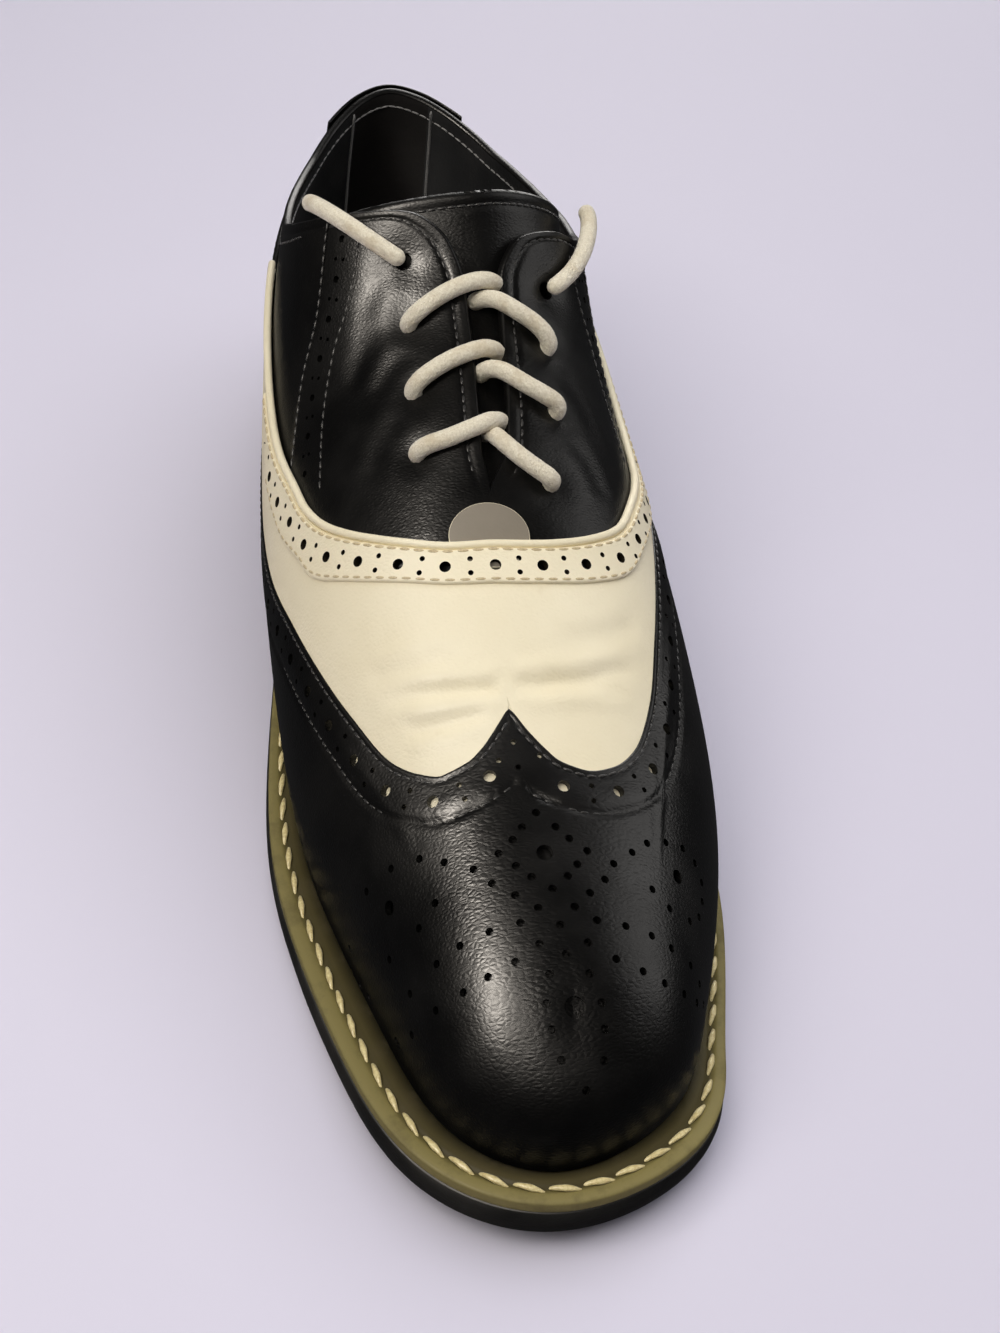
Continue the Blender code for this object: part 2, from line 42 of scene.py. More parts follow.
# The last, as the solids have it: one row a section from heel to toe, millimetres.
# Along is measured from the back of the sole, x from the last's middle.
sectionNames = (
    "latAlong", "latX", "medAlong", "medX", "featherZ", "weltLat", "weltMed", "ridgeAlong", "ridgeX",
    "ridgeZ", "fall", "riseLat", "riseMed", "flareLat", "flareMed", "crownLat", "crownMed",
)
sections = np.array([
    (5.5, -5, 5.5, -5, 31, 5, 5, 60, -4, 165, 0, 30, 30, 5, 5, 0.95, 0.95),  # back of the heel
    (28, -30.5, 28, 22, 31, 5, 5, 75, -3, 165, 0, 30, 30, 2, 8, 0.82, 0.97),  # side of the heel
    (72, -36, 70, 26.5, 30, 5, 5, 92, -1, 160, 0.1, 32, 32, 12, 17, 0.99, 1.1),  # ankle
    (122, -37.5, 116, 26, 23, 5, 5, 118, 1.5, 115, 0.5, 34, 36, 22, 28, 0.88, 1.0),  # waist
    (162, -40.8, 158, 34.2, 15, 6.6, 6, 150, 0, 98, 0.48, 32, 34, 17.5, 22, 0.8, 0.9),  # instep
    (200, -42, 206, 43.2, 10.5, 9, 6.3, 184, -3.5, 83, 0.48, 28, 28, 9, 10, 0.76, 0.8),  # ball
    (230.5, -37.3, 241.5, 39.6, 10.5, 10.8, 6.9, 218, -4.5, 68, 0.388, 24, 24, 4.5, 5, 0.76, 0.8),  # vamp
    (260.9, -29.9, 267.8, 31.3, 13.5, 11.4, 8.2, 248, -2, 58, 0.28, 21, 21, 2, 2.5, 0.78, 0.8),  # toe box
    (285.3, -20.6, 285.7, 21, 16.5, 10.3, 10.3, 269, 0, 52, 0.385, 19, 19, 1.5, 2, 0.82, 0.82),  # toe corner
    (296.6, -1.5, 296.6, -1.5, 18.5, 8.9, 8.9, 279, 0.5, 47, 0.62, 17, 17, 1.5, 1.5, 0.86, 0.86),  # toe tip
])
last = {"heelY": 153.0, "middleX": 0.5, "toe": 9.0, "wall": 2.2, "slitEnd": 4.75, "lowShare": 0.98}


def sectionLoop(lateral, medial):  # down the lateral column from heel to toe, back up the medial one
    forward = sections[:, sectionNames.index(lateral)]
    back = sections[:, sectionNames.index(medial)]
    return np.concatenate([forward, back[-2:0:-1]])


loops = {
    "along": sectionLoop("latAlong", "medAlong"),
    "x": sectionLoop("latX", "medX") - last["middleX"],
    "z": sectionLoop("featherZ", "featherZ"),
    "welt": sectionLoop("weltLat", "weltMed"),
    "ridgeAlong": sectionLoop("ridgeAlong", "ridgeAlong"),
    "ridgeX": sectionLoop("ridgeX", "ridgeX") - last["middleX"],
    "ridgeZ": sectionLoop("ridgeZ", "ridgeZ"),
    "fall": sectionLoop("fall", "fall"),
    "rise": sectionLoop("riseLat", "riseMed"),
    "flare": sectionLoop("flareLat", "flareMed"),
    "crown": sectionLoop("crownLat", "crownMed"),
}
loopSize = len(loops["z"])


# Second differences that make the closed spline smooth: 4 of its own and 1 of each neighbour
def loopBend(values):
    shift = np.roll(np.eye(loopSize), 1, axis=1)
    bend = np.roll(values, -1) - 2 * values + np.roll(values, 1)
    return np.linalg.solve(4 * np.eye(loopSize) + shift + shift.T, 6 * bend)


bends = {name: loopBend(values) for name, values in loops.items()}


def loopValue(name, place):  # straight line between two rows plus the cubic of their bends
    values, second = loops[name], bends[name]
    whole = np.floor(place)
    part = place - whole
    rest = 1 - part
    near = whole.astype(int) % loopSize
    far = (near + 1) % loopSize
    cubic = second[near] * (rest**3 - rest) + second[far] * (part**3 - part)
    return values[near] * rest + values[far] * part + cubic / 6


def unit(vectors):  # each vector over its own length
    return vectors / np.linalg.norm(vectors, axis=-1, keepdims=True)


def outward(place):  # level and square to the feather outline
    small = 1e-3
    across = loopValue("x", place + small) - loopValue("x", place - small)
    ahead = loopValue("along", place - small) - loopValue("along", place + small)
    return unit(np.stack([ahead, -across, np.zeros_like(across)], -1))


def loopPoint(names, place):  # x, y and z of an edge that runs round the last
    across, along, height = (loopValue(name, place) for name in names)
    return np.stack([across, last["heelY"] - along, height], -1)


featherEdge = "x", "along", "z"
ridgeEdge = "ridgeX", "ridgeAlong", "ridgeZ"


def lastPoint(station, share):  # each half section is a cubic from feather edge by wall and crown to ridge
    place = np.where(share <= 0, station, loopSize - station)
    feather, ridge = loopPoint(featherEdge, place), loopPoint(ridgeEdge, place)
    wall = feather + outward(place) * loopValue("flare", place)[..., None]
    wall[..., 2] += loopValue("rise", place)
    reach = (feather - ridge) * loopValue("crown", place)[..., None]
    reach[..., 2] = loopValue("fall", place) * reach[..., 1]
    up = (1 - np.abs(share))[..., None]
    down = 1 - up
    return down**3 * feather + 3 * down**2 * up * wall + 3 * down * up**2 * (ridge + reach) + up**3 * ridge


def slopes(station, share):  # change of the point by station and by share
    small = 1e-3
    ahead = lastPoint(station + small, share) - lastPoint(station - small, share)
    up = lastPoint(station, share + small) - lastPoint(station, share - small)
    return ahead / (2 * small), up / (2 * small)


def lastNormal(station, share):  # taken a little beside the pole at the toe, where all sections meet
    pole = (station > last["toe"] - 0.2) & (np.abs(share) < 0.05)
    share = np.where(pole, np.where(share <= 0, -0.05, 0.05), share)
    return unit(np.cross(*slopes(station, share)))


def onLast(station, share, lift=0.0):  # point of the last, lifted along its normal
    station, share, lift = np.broadcast_arrays(*(np.asarray(item, float) for item in (station, share, lift)))
    return lastPoint(station, share) + lift[..., None] * lastNormal(station, share)


def slide(station, share, move):  # move over the surface, solved for the change of station and share
    ahead, up = slopes(station, share)
    aa, au, uu = (ahead * ahead).sum(-1), (ahead * up).sum(-1), (up * up).sum(-1)
    am, um = (ahead * move).sum(-1), (up * move).sum(-1)
    area = aa * uu - au * au
    return station + (uu * am - au * um) / area, share + (aa * um - au * am) / area


def beside(station, share, distance, steps=4):  # a seam moved sideways over the leather, some mm to its left
    for _ in range(steps):
        run = unit(np.gradient(onLast(station, share), axis=0))
        side = np.cross(lastNormal(station, share), run)
        station, share = slide(station, share, side * distance / steps)
    return station, share


def runLength(points):  # distance from the first point along the line
    return np.concatenate([[0], np.cumsum(np.linalg.norm(np.diff(points, axis=0), axis=1))])


# The same seam with points one pitch apart, from one end or, where middle is given, from mm beside its middle
def evenly(station, share, pitch, middle=None):
    run = runLength(onLast(station, share))
    if middle is not None:
        most = int(run[-1] / (2 * pitch) - 0.2)
        places = run[-1] / 2 + middle + np.arange(-most, most + 1) * pitch
    else:
        places = (np.arange(max(int(run[-1] / pitch), 1)) + 0.5) * pitch
    return np.interp(places, run, station), np.interp(places, run, share)


def tableCurve(table, column, place):  # smooth curve through a table's rows that never overshoots
    table = np.asarray(table, float)
    places, values = table[:, 0], table[:, column]
    step = np.diff(places)
    slope = np.diff(values) / step
    same = slope[:-1] * slope[1:] > 0
    tangent = np.zeros(len(values))
    tangent[1:-1] = np.where(same, 2 * slope[:-1] * slope[1:] / np.where(same, slope[:-1] + slope[1:], 1), 0)
    index = np.clip(np.searchsorted(places, place) - 1, 0, len(step) - 1)
    part = np.clip((place - places[index]) / step[index], 0, 1)
    rise = values[index + 1] - values[index]
    start, end = tangent[index] * step[index], tangent[index + 1] * step[index]
    square, cube = 3 * rise - 2 * start - end, start + end - 2 * rise
    return values[index] + part * start + part**2 * square + part**3 * cube


def edgeCurve(table, place, share):  # lateral or medial column by the sign of the share
    return np.where(np.asarray(share) <= 0, tableCurve(table, 1, place), tableCurve(table, 2, place))


def softStep(value, low, high):  # 0 below low, 1 above high, smooth between
    part = np.clip((value - low) / (high - low), 0, 1)
    return part * part * (3 - 2 * part)


def roundedEdge(distance, radius):  # height share of a rounded border, from 0 at the edge to 1
    return np.sqrt(np.clip(1 - (1 - np.clip(distance / radius, 0, 1)) ** 2, 0, 1))


def bell(distance, half):  # 1 in the middle, about a third at half
    return np.exp(-((distance / half) ** 2))


# Edges on the last: station or share of the lateral and the medial side
collarEdge = (
    (0.0, 0.588, 0.588), (0.25, 0.595, 0.595), (0.5, 0.608, 0.608), (0.75, 0.622, 0.623), (1.0, 0.634, 0.635),
    (1.25, 0.637, 0.637), (1.5, 0.632, 0.632), (1.75, 0.618, 0.619), (2.0, 0.592, 0.594),
    (2.25, 0.525, 0.558), (2.4, 0.465, 0.518), (2.55, 0.383, 0.46), (2.7, 0.27, 0.385), (2.85, 0.13, 0.25),
    (3.0, 0.07, 0.12), (3.2, 0.045, 0.066), (4.4, 0.024, 0.042), (4.75, 0.0, 0.0),
)
wingEdge = (
    (0.0, 6.08, 6.08), (0.03, 6.13, 6.17), (0.06, 6.185, 6.24), (0.09, 6.23, 6.28), (0.14, 6.265, 6.255),
    (0.22, 6.24, 6.1), (0.29, 6.12, 5.84), (0.345, 5.97, 5.42), (0.38, 5.83, 5.0), (0.45, 5.39, 4.45),
    (0.53, 4.87, 4.03), (0.6, 4.43, 3.72), (0.7, 3.8, 3.2), (0.8, 2.6, 2.5), (0.84, 1.86, 1.86),
    (1.0, 1.86, 1.86),
)
throatEdge = (
    (-0.12, 5.22, 5.27), (0.0, 5.085, 5.085), (0.06, 5.02, 5.0), (0.12, 4.94, 4.91), (0.22, 4.755, 4.735),
    (0.31, 4.56, 4.54), (0.385, 4.37, 4.29), (0.45, 4.165, 4.07), (0.5, 3.93, 3.86), (0.53, 3.7, 3.66),
    (0.6, 3.2, 3.06), (0.67, 2.4, 2.4), (0.7, 1.86, 1.86), (1.0, 1.86, 1.86),
)


def wingStation(share):  # where the wing's edge crosses a line of one share
    return edgeCurve(wingEdge, np.abs(share), share)


def throatStation(share):  # the same for the edge of the throat
    return edgeCurve(throatEdge, np.abs(share), share)


# Meshes
def numbered(grid):  # vertex numbers of a grid of points
    return np.arange(grid[..., 0].size).reshape(grid.shape[:-1])


def gridQuads(index, closedRows=False, closedColumns=False):  # quads of a grid of vertex numbers
    if closedRows:
        index = np.concatenate([index, index[:1]])
    if closedColumns:
        index = np.concatenate([index, index[:, :1]], 1)
    return np.stack([index[:-1, :-1], index[1:, :-1], index[1:, 1:], index[:-1, 1:]], -1).reshape(-1, 4)


def closedSheet(top, low, sewnToe=False):  # top and underside of a panel, with a wall along its open border
    index = numbered(top)
    count = index.size
    if sewnToe:
        index[-1] = np.minimum(index[-1], index[-1, ::-1])
    quads = gridQuads(index)
    edges = np.stack([quads, np.roll(quads, -1, 1)], -1).reshape(-1, 2)
    paired = np.isin(edges[:, 0] * count + edges[:, 1], edges[:, 1] * count + edges[:, 0])
    border = edges[~paired]
    wall = np.stack([border[:, 1], border[:, 0], border[:, 0] + count, border[:, 1] + count], -1)
    points = np.concatenate([top.reshape(-1, 3), low.reshape(-1, 3)])
    return points, np.concatenate([quads, quads[:, ::-1] + count, wall]).tolist()


def addPiece(name, shape, material, replaced=(), uv=None):  # shape is points in mm and faces
    points, faces = shape
    points = np.reshape(points, (-1, 3))
    corners = np.concatenate([np.asarray(face) for face in faces])
    used, compact = np.unique(corners, return_inverse=True)
    ends = np.cumsum([len(face) for face in faces])[:-1]
    mesh = bpy.data.meshes.new(name)
    mesh.from_pydata((points[used] * mm).tolist(), [], [face.tolist() for face in np.split(compact, ends)])
    if uv is not None:
        layer = mesh.uv_layers.new(name="UVMap")
        layer.uv.foreach_set("vector", np.reshape(uv, (-1, 2))[corners].astype(np.float32).ravel())
    mesh.materials.append(material)
    mesh.shade_smooth()
    piece = bpy.data.objects.new(name, mesh)
    bpy.context.scene.collection.objects.link(piece)
    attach(piece, "root")
    if replaced:
        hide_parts(*replaced)
    return piece


def joined(shapes):  # several shapes as one
    points, faces, start = [], [], 0
    for shapePoints, shapeFaces in shapes:
        shapePoints = np.reshape(shapePoints, (-1, 3))
        points.append(shapePoints)
        faces += [[corner + start for corner in face] for face in shapeFaces]
        start += len(shapePoints)
    return np.concatenate(points), faces


def rodFaces(rods, rings, sides):  # faces of many rods, each some rings of points with a flat cap at each end
    index = np.arange(rods * rings * sides).reshape(rods, rings, sides)
    after = np.roll(index, -1, 2)
    quads = np.stack([index[:, :-1], after[:, :-1], after[:, 1:], index[:, 1:]], -1).reshape(-1, 4)
    return quads.tolist() + index[:, 0, ::-1].tolist() + index[:, -1].tolist()


punchTool = {"sides": 14, "sharp": math.radians(38)}


# Round holes cut square through a panel between two lifts off the last, their walls in the edge material
def punch(piece, station, share, radius, deep, high, edge=None):
    turn = np.linspace(0, 2 * np.pi, punchTool["sides"], endpoint=False)
    normal = lastNormal(station, share)
    side = unit(np.cross(normal, [0.0, 1.0, 0.0]))
    other = np.cross(normal, side)
    ring = np.cos(turn)[:, None] * side[:, None] + np.sin(turn)[:, None] * other[:, None]
    ring = ring * np.broadcast_to(radius, np.shape(station))[:, None, None]
    middle = onLast(station, share)
    levels = [middle[:, None] + ring + lift * normal[:, None] for lift in (deep, high)]
    cutterPoints = np.stack(levels, 1).reshape(-1, 3) * mm
    cutterMesh = bpy.data.meshes.new("punches")
    cutterMesh.from_pydata(cutterPoints.tolist(), [], rodFaces(len(middle), 2, len(turn)))
    cutterMesh.materials.append(edge or piece.data.materials[0])
    cutter = bpy.data.objects.new("punches", cutterMesh)
    bpy.context.scene.collection.objects.link(cutter)
    cut = piece.modifiers.new("punch", "BOOLEAN")
    cut.solver = "MANIFOLD"
    cut.operation = "DIFFERENCE"
    cut.material_mode = "TRANSFER"
    cut.object = cutter
    bpy.context.view_layer.update()
    mesh = bpy.data.meshes.new_from_object(piece.evaluated_get(bpy.context.evaluated_depsgraph_get()))
    piece.modifiers.clear()
    piece.data = mesh
    bpy.data.objects.remove(cutter)
    mesh.shade_smooth()
    mesh.set_sharp_from_angle(angle=punchTool["sharp"])
    print("  punched", len(middle), "holes in", piece.name, len(mesh.polygons), "faces")


# Procedural finishes
def addNode(tree, kind, inputs=(), **settings):  # a node with settings, and values or links on its sockets
    node = tree.nodes.new(kind)
    for name, value in settings.items():
        setattr(node, name, value)
    for name, value in dict(inputs).items():
        if isinstance(value, bpy.types.NodeSocket):
            tree.links.new(value, node.inputs[name])
        else:
            node.inputs[name].default_value = value
    return node


def startMaterial(name, **sockets):  # a Principled shader with its constant values on its own sockets
    material = bpy.data.materials.new(name)
    material.use_nodes = True
    shader = material.node_tree.nodes["Principled BSDF"]
    for socket, value in sockets.items():
        shader.inputs[socket.replace("_", " ")].default_value = value
    return material, material.node_tree, shader


def objectPlace(tree, scale=(1, 1, 1)):  # place on the object in metres, stretched by the scale
    place = addNode(tree, "ShaderNodeTexCoord")
    inputs = {"Vector": place.outputs["Object"], "Scale": scale}
    return addNode(tree, "ShaderNodeMapping", inputs).outputs["Vector"]


def noise(tree, place, scale, detail=3.0, roughness=0.5):  # cloudy value, scale waves to the metre
    inputs = {"Vector": place, "Scale": scale, "Detail": detail, "Roughness": roughness}
    return addNode(tree, "ShaderNodeTexNoise", inputs).outputs["Fac"]


def spread(tree, value, low, high, fromLow=0.35, fromHigh=0.65):  # a value stretched onto another range
    inputs = {"Value": value, "From Min": fromLow, "From Max": fromHigh, "To Min": low, "To Max": high}
    return addNode(tree, "ShaderNodeMapRange", inputs).outputs["Result"]


def blendColours(tree, factor, first, second):  # first at 0, second at 1
    node = addNode(tree, "ShaderNodeMix", data_type="RGBA")
    tree.links.new(factor, node.inputs["Factor"])
    for socket, colour in ((node.inputs[6], first), (node.inputs[7], second)):
        if isinstance(colour, bpy.types.NodeSocket):
            tree.links.new(colour, socket)
        else:
            socket.default_value = (*colour, 1)
    return node.outputs[2]


def added(tree, first, second, factor):  # first + factor * second
    inputs = {0: second, 1: factor, 2: first}
    return addNode(tree, "ShaderNodeMath", inputs, operation="MULTIPLY_ADD").outputs[0]


def bumpOn(tree, shader, height, strength, distance):  # relief of a height value, distance deep in metres
    inputs = {"Height": height, "Strength": strength, "Distance": distance}
    tree.links.new(addNode(tree, "ShaderNodeBump", inputs).outputs["Normal"], shader.inputs["Normal"])


def leatherMaterial(name, look):  # pebbles between fine wrinkles, patchy gloss and a little soil
    coat = {"Coat_Weight": look["coat"], "Coat_Roughness": look["coatRough"]}
    material, tree, shader = startMaterial(name, Specular_IOR_Level=look["specular"], **coat)
    place = objectPlace(tree)
    grain = objectPlace(tree, scale=look["grainStretch"])
    pebbles = {"Vector": grain, "Scale": look["grain"]}
    cells = addNode(tree, "ShaderNodeTexVoronoi", pebbles, feature="DISTANCE_TO_EDGE")
    wrinkle = noise(tree, grain, look["grain"] * look["wrinkle"], 5.0, 0.6)
    height = added(tree, wrinkle, cells.outputs["Distance"], look["pebble"])
    bumpOn(tree, shader, height, look["bump"], look["bumpDepth"] * mm)
    patch = noise(tree, place, look["patch"], 3.0)
    stain = noise(tree, place, look["soilScale"], 6.0, 0.65)
    soil = spread(tree, stain, 0, 1, *look["soilFrom"])
    tone = blendColours(tree, spread(tree, patch, 0, 1), look["colour"], look["shade"])
    tree.links.new(blendColours(tree, soil, tone, look["soil"]), shader.inputs["Base Color"])
    tree.links.new(spread(tree, patch, *look["rough"]), shader.inputs["Roughness"])
    return material


plainLeather = {
    "coat": 0.0, "coatRough": 0.3, "specular": 0.4, "grain": 700, "grainStretch": (1.0, 1.0, 1.0),
    "wrinkle": 0.45, "pebble": 0.8, "bump": 0.4, "bumpDepth": 0.2,
}
blackDye = {
    "colour": (0.0009, 0.0009, 0.0009), "shade": (0.0018, 0.0017, 0.0016), "soil": (0.005, 0.0046, 0.004),
    "patch": 55, "soilScale": 90, "soilFrom": (0.62, 0.8),
}
softLining = {"pebble": 1.0, "patch": 30, "soilScale": 40, "soilFrom": (0.55, 0.8)}
leatherLooks = {  # each names only what differs from plain leather
    "blackCalf": {
        **blackDye, "rough": (0.31, 0.41), "specular": 0.23, "grain": 1400, "grainStretch": (0.55, 1.0, 1.0),
        "pebble": 1.1, "bump": 0.42, "bumpDepth": 0.15,
    },
    "toeCalf": {
        **blackDye, "rough": (0.29, 0.4), "specular": 0.3, "grain": 1150, "grainStretch": (0.5, 1.0, 1.0),
        "pebble": 1.2, "bump": 0.45, "bumpDepth": 0.16,
    },
    "creamCalf": {
        "colour": (0.84, 0.765, 0.565), "shade": (0.80, 0.72, 0.515), "soil": (0.70, 0.60, 0.41),
        "rough": (0.52, 0.64), "specular": 0.15, "grain": 950, "grainStretch": (0.8, 1.0, 1.0), "pebble": 0.9,
        "bump": 0.6, "patch": 40, "soilScale": 120, "soilFrom": (0.66, 0.9),
    },
    "greyTab": {
        "colour": (0.21, 0.18, 0.134), "shade": (0.185, 0.158, 0.116), "soil": (0.16, 0.134, 0.096),
        "rough": (0.5, 0.6), "specular": 0.3, "grain": 1200, "bump": 0.25, "bumpDepth": 0.15,
        "patch": 80, "soilScale": 150, "soilFrom": (0.66, 0.9),
    },
    "blackLining": {
        **softLining, "rough": (0.34, 0.48), "coat": 0.05, "specular": 0.45,
        "colour": (0.013, 0.0134, 0.0146), "shade": (0.021, 0.0215, 0.0228), "soil": (0.034, 0.033, 0.032),
    },
    "heelLining": {
        **softLining, "rough": (0.36, 0.5),
        "colour": (0.0065, 0.0058, 0.0056), "shade": (0.011, 0.0094, 0.009), "soil": (0.03, 0.024, 0.022),
    },
    # near black walls of the holes through the cream band and vamp: painted shade inside the holes
    "paintedShadeHoleWall": {
        "colour": (0.012, 0.0095, 0.006), "shade": (0.024, 0.019, 0.012), "soil": (0.05, 0.04, 0.026),
        "rough": (0.85, 0.95), "specular": 0.02, "bump": 0.2, "bumpDepth": 0.1,
        "patch": 200, "soilScale": 200, "soilFrom": (0.6, 0.8),
    },
    "soleBlack": {
        "colour": (0.005, 0.0047, 0.0043), "shade": (0.009, 0.0082, 0.007), "soil": (0.03, 0.026, 0.019),
        "rough": (0.42, 0.6), "grain": 500, "grainStretch": (1.0, 1.0, 2.0), "bump": 0.35,
        "patch": 60, "soilScale": 130, "soilFrom": (0.64, 0.85),
    },
}
leathers = {name: leatherMaterial(name, {**plainLeather, **look}) for name, look in leatherLooks.items()}


def threadMaterial(name, colour, shade, rough, twist):  # fine plies across the thread
    material, tree, shader = startMaterial(name, Roughness=rough, Sheen_Weight=0.15, Specular_IOR_Level=0.35)
    fibre = noise(tree, objectPlace(tree), twist, 3.0, 0.6)
    tree.links.new(blendColours(tree, spread(tree, fibre, 0, 1), colour, shade), shader.inputs["Base Color"])
    bumpOn(tree, shader, fibre, 0.5, 0.15 * mm)
    return material


threads = {
    "black": threadMaterial("blackThread", (0.006, 0.0058, 0.0055), (0.017, 0.0162, 0.015), 0.45, 2500),
    "grey": threadMaterial("greyThread", (0.22, 0.215, 0.21), (0.16, 0.155, 0.15), 0.5, 2500),
    "tan": threadMaterial("tanThread", (0.60, 0.49, 0.29), (0.44, 0.345, 0.19), 0.6, 2500),
    "gold": threadMaterial("goldThread", (0.80, 0.69, 0.36), (0.60, 0.48, 0.21), 0.4, 1300),
}


def laceMaterial(look):  # cotton with tiny fibres, darker in random patches where it is soiled
    sheen = {"Roughness": 0.9, "Sheen_Weight": 0.3, "Specular_IOR_Level": 0.2}
    material, tree, shader = startMaterial("cottonLace", **sheen)
    place = objectPlace(tree)
    fibre = noise(tree, place, look["fibre"], 4.0, 0.7)
    soil = spread(tree, noise(tree, place, look["soilScale"], 4.0, 0.6), 0, 1, 0.5, 0.75)
    cotton = blendColours(tree, spread(tree, fibre, 0, 1), look["colour"], look["shade"])
    tree.links.new(blendColours(tree, soil, cotton, look["soil"]), shader.inputs["Base Color"])
    bumpOn(tree, shader, fibre, 0.8, 0.4 * mm)
    return material


laceCotton = laceMaterial({
    "colour": (0.86, 0.80, 0.645), "shade": (0.66, 0.59, 0.435), "soil": (0.58, 0.485, 0.32),
    "fibre": 2200, "soilScale": 150,
})


def weltMaterial(look):  # painted shade beside the upper and in the stitch groove, lighter on the outer lip partly as painted light, read across the strip by UV
    material, tree, shader = startMaterial("weltOlive", Specular_IOR_Level=0.1)
    onStrip = addNode(tree, "ShaderNodeUVMap").outputs["UV"]
    across = addNode(tree, "ShaderNodeSeparateXYZ", {"Vector": onStrip})
    ramp = addNode(tree, "ShaderNodeValToRGB", {"Fac": across.outputs["Y"]})
    for number, (place, colour) in enumerate(look["paintedShadeBands"]):
        stop = ramp.color_ramp.elements[number] if number < 2 else ramp.color_ramp.elements.new(place)
        stop.position, stop.color = place, (*colour, 1)
    wear = noise(tree, objectPlace(tree), look["wear"], 5.0, 0.65)
    soil = spread(tree, wear, 0, look["soilMost"], 0.5, 0.75)
    tree.links.new(blendColours(tree, soil, ramp.outputs["Color"], look["soil"]), shader.inputs["Base Color"])
    tree.links.new(spread(tree, wear, 0.48, 0.65), shader.inputs["Roughness"])
    bumpOn(tree, shader, wear, 0.3, 0.2 * mm)
    return material


weltOlive = weltMaterial({
    # olive of the welt with painted shade: near black beside the upper and darker in the stitch groove, and a
    # lighter outer lip partly painted light
    "paintedShadeBands": (
        (0.0, (0.008, 0.0066, 0.0025)), (1.0, (0.20, 0.168, 0.062)), (0.2, (0.022, 0.018, 0.007)),
        (0.44, (0.068, 0.055, 0.02)), (0.6, (0.05, 0.04, 0.013)), (0.72, (0.215, 0.18, 0.066)),
        (0.92, (0.23, 0.193, 0.074)),
    ),
    "wear": 160, "soil": (0.07, 0.055, 0.025), "soilMost": 0.5,
})
print("finishes made")

# Camera at the place from which the shoe was seen, turned to the one shoe
view = {"place": (-75.7, -337.0, 346.7), "aim": (0.3, -36.0, 49.0), "lens": 52.0, "roll": 7.1}
camera = bpy.data.objects.new("camera", bpy.data.cameras.new("camera"))
bpy.context.scene.collection.objects.link(camera)
camera.location = Vector(view["place"]) * mm
sight = (Vector(view["aim"]) - Vector(view["place"])).to_track_quat("-Z", "Y")
camera.rotation_euler = (sight @ Quaternion((0, 0, 1), math.radians(view["roll"]))).to_euler()
camera.data.sensor_width = 36.0
camera.data.lens = view["lens"]
bpy.context.scene.camera = camera

# Laces: arms and free ends are rows of station, share and lift off the last in mm
laces = {
    "radius": 2.0, "sides": 32, "step": 0.28, "strands": 8, "strandPitch": 5.5, "relief": 0.08,
    "row1": (
        ((4.235, -0.178, -3), (4.24, -0.174, 0.4), (4.265, -0.146, 2.2), (4.3, -0.092, 2.55),
         (4.31, -0.04, 2.6), (4.3, -0.004, 2.0), (4.27, 0.012, 0.8), (4.235, 0.026, -0.9),
         (4.215, 0.046, -3.2), (4.21, 0.06, -4.6)),
        ((4.505, 0.135, -3), (4.508, 0.132, 0.6), (4.515, 0.12, 2.2), (4.505, 0.094, 2.6),
         (4.475, 0.06, 2.6), (4.42, 0.03, 2.0), (4.37, 0.014, 0.7), (4.32, 0.0, -1.6),
         (4.29, -0.014, -4.6)),
    ),
    "row2": (
        ((3.79, -0.18, -3), (3.795, -0.174, 0.4), (3.79, -0.148, 2.2), (3.77, -0.104, 2.55),
         (3.76, -0.058, 2.6), (3.75, -0.014, 2.0), (3.735, 0.012, 0.8), (3.71, 0.03, -0.9),
         (3.7, 0.05, -3.2), (3.7, 0.068, -4.6)),
        ((4.02, 0.176, -3), (4.02, 0.172, 0.6), (4.012, 0.156, 2.2), (4.005, 0.126, 2.6),
         (3.985, 0.086, 2.6), (3.925, 0.038, 2.0), (3.89, 0.014, 0.7), (3.86, -0.008, -1.6),
         (3.84, -0.022, -4.6)),
    ),
    "row3": (
        ((3.32, -0.178, -3), (3.32, -0.172, 0.4), (3.31, -0.15, 2.2), (3.285, -0.116, 2.55),
         (3.26, -0.076, 2.6), (3.245, -0.034, 2.5), (3.24, 0.004, 1.6), (3.235, 0.036, 0.0),
         (3.225, 0.066, -2.9), (3.225, 0.085, -4.6)),
        ((3.545, 0.19, -3), (3.54, 0.186, 0.6), (3.51, 0.164, 2.2), (3.47, 0.13, 2.6),
         (3.425, 0.082, 2.6), (3.375, 0.042, 2.0), (3.35, 0.016, 0.7), (3.33, -0.006, -1.6),
         (3.31, -0.02, -4.6)),
    ),
    "lateralEnd": (
        (2.99, -0.176, 0.4), (2.965, -0.187, 2.05), (2.9, -0.214, 2.7), (2.8, -0.256, 2.8),
        (2.7, -0.298, 2.75), (2.6, -0.34, 2.5), (2.51, -0.378, 1.8), (2.43, -0.412, 0.5),
        (2.36, -0.442, -1.4),
    ),
    "medialEnd": (
        (3.15, 0.22, 0.4), (3.13, 0.229, 2.05), (3.08, 0.25, 2.75), (2.99, 0.288, 3.0), (2.88, 0.328, 3.3),
        (2.77, 0.362, 3.5), (2.66, 0.39, 3.6), (2.56, 0.413, 3.3), (2.47, 0.434, 2.4),
    ),
}


def smoothRoute(points, step):  # a curve through the points with even slopes, read every step mm
    points = np.asarray(points, float)
    padded = np.concatenate([[2 * points[0] - points[1]], points, [2 * points[-1] - points[-2]]])
    place = np.linspace(0, len(points) - 1, 40 * len(points))
    index = np.clip(place.astype(int), 0, len(points) - 2)
    part = (place - index)[:, None]
    before, start, end, after = (padded[index + number] for number in range(4))
    bend = 2 * before - 5 * start + 4 * end - after
    twist = 3 * start - before - 3 * end + after
    curve = 0.5 * (2 * start + (end - before) * part + bend * part**2 + twist * part**3)
    run = runLength(curve)
    even = np.linspace(0, run[-1], max(int(run[-1] / step), 2))
    return np.stack([np.interp(even, run, curve[:, axis]) for axis in range(3)], -1), even


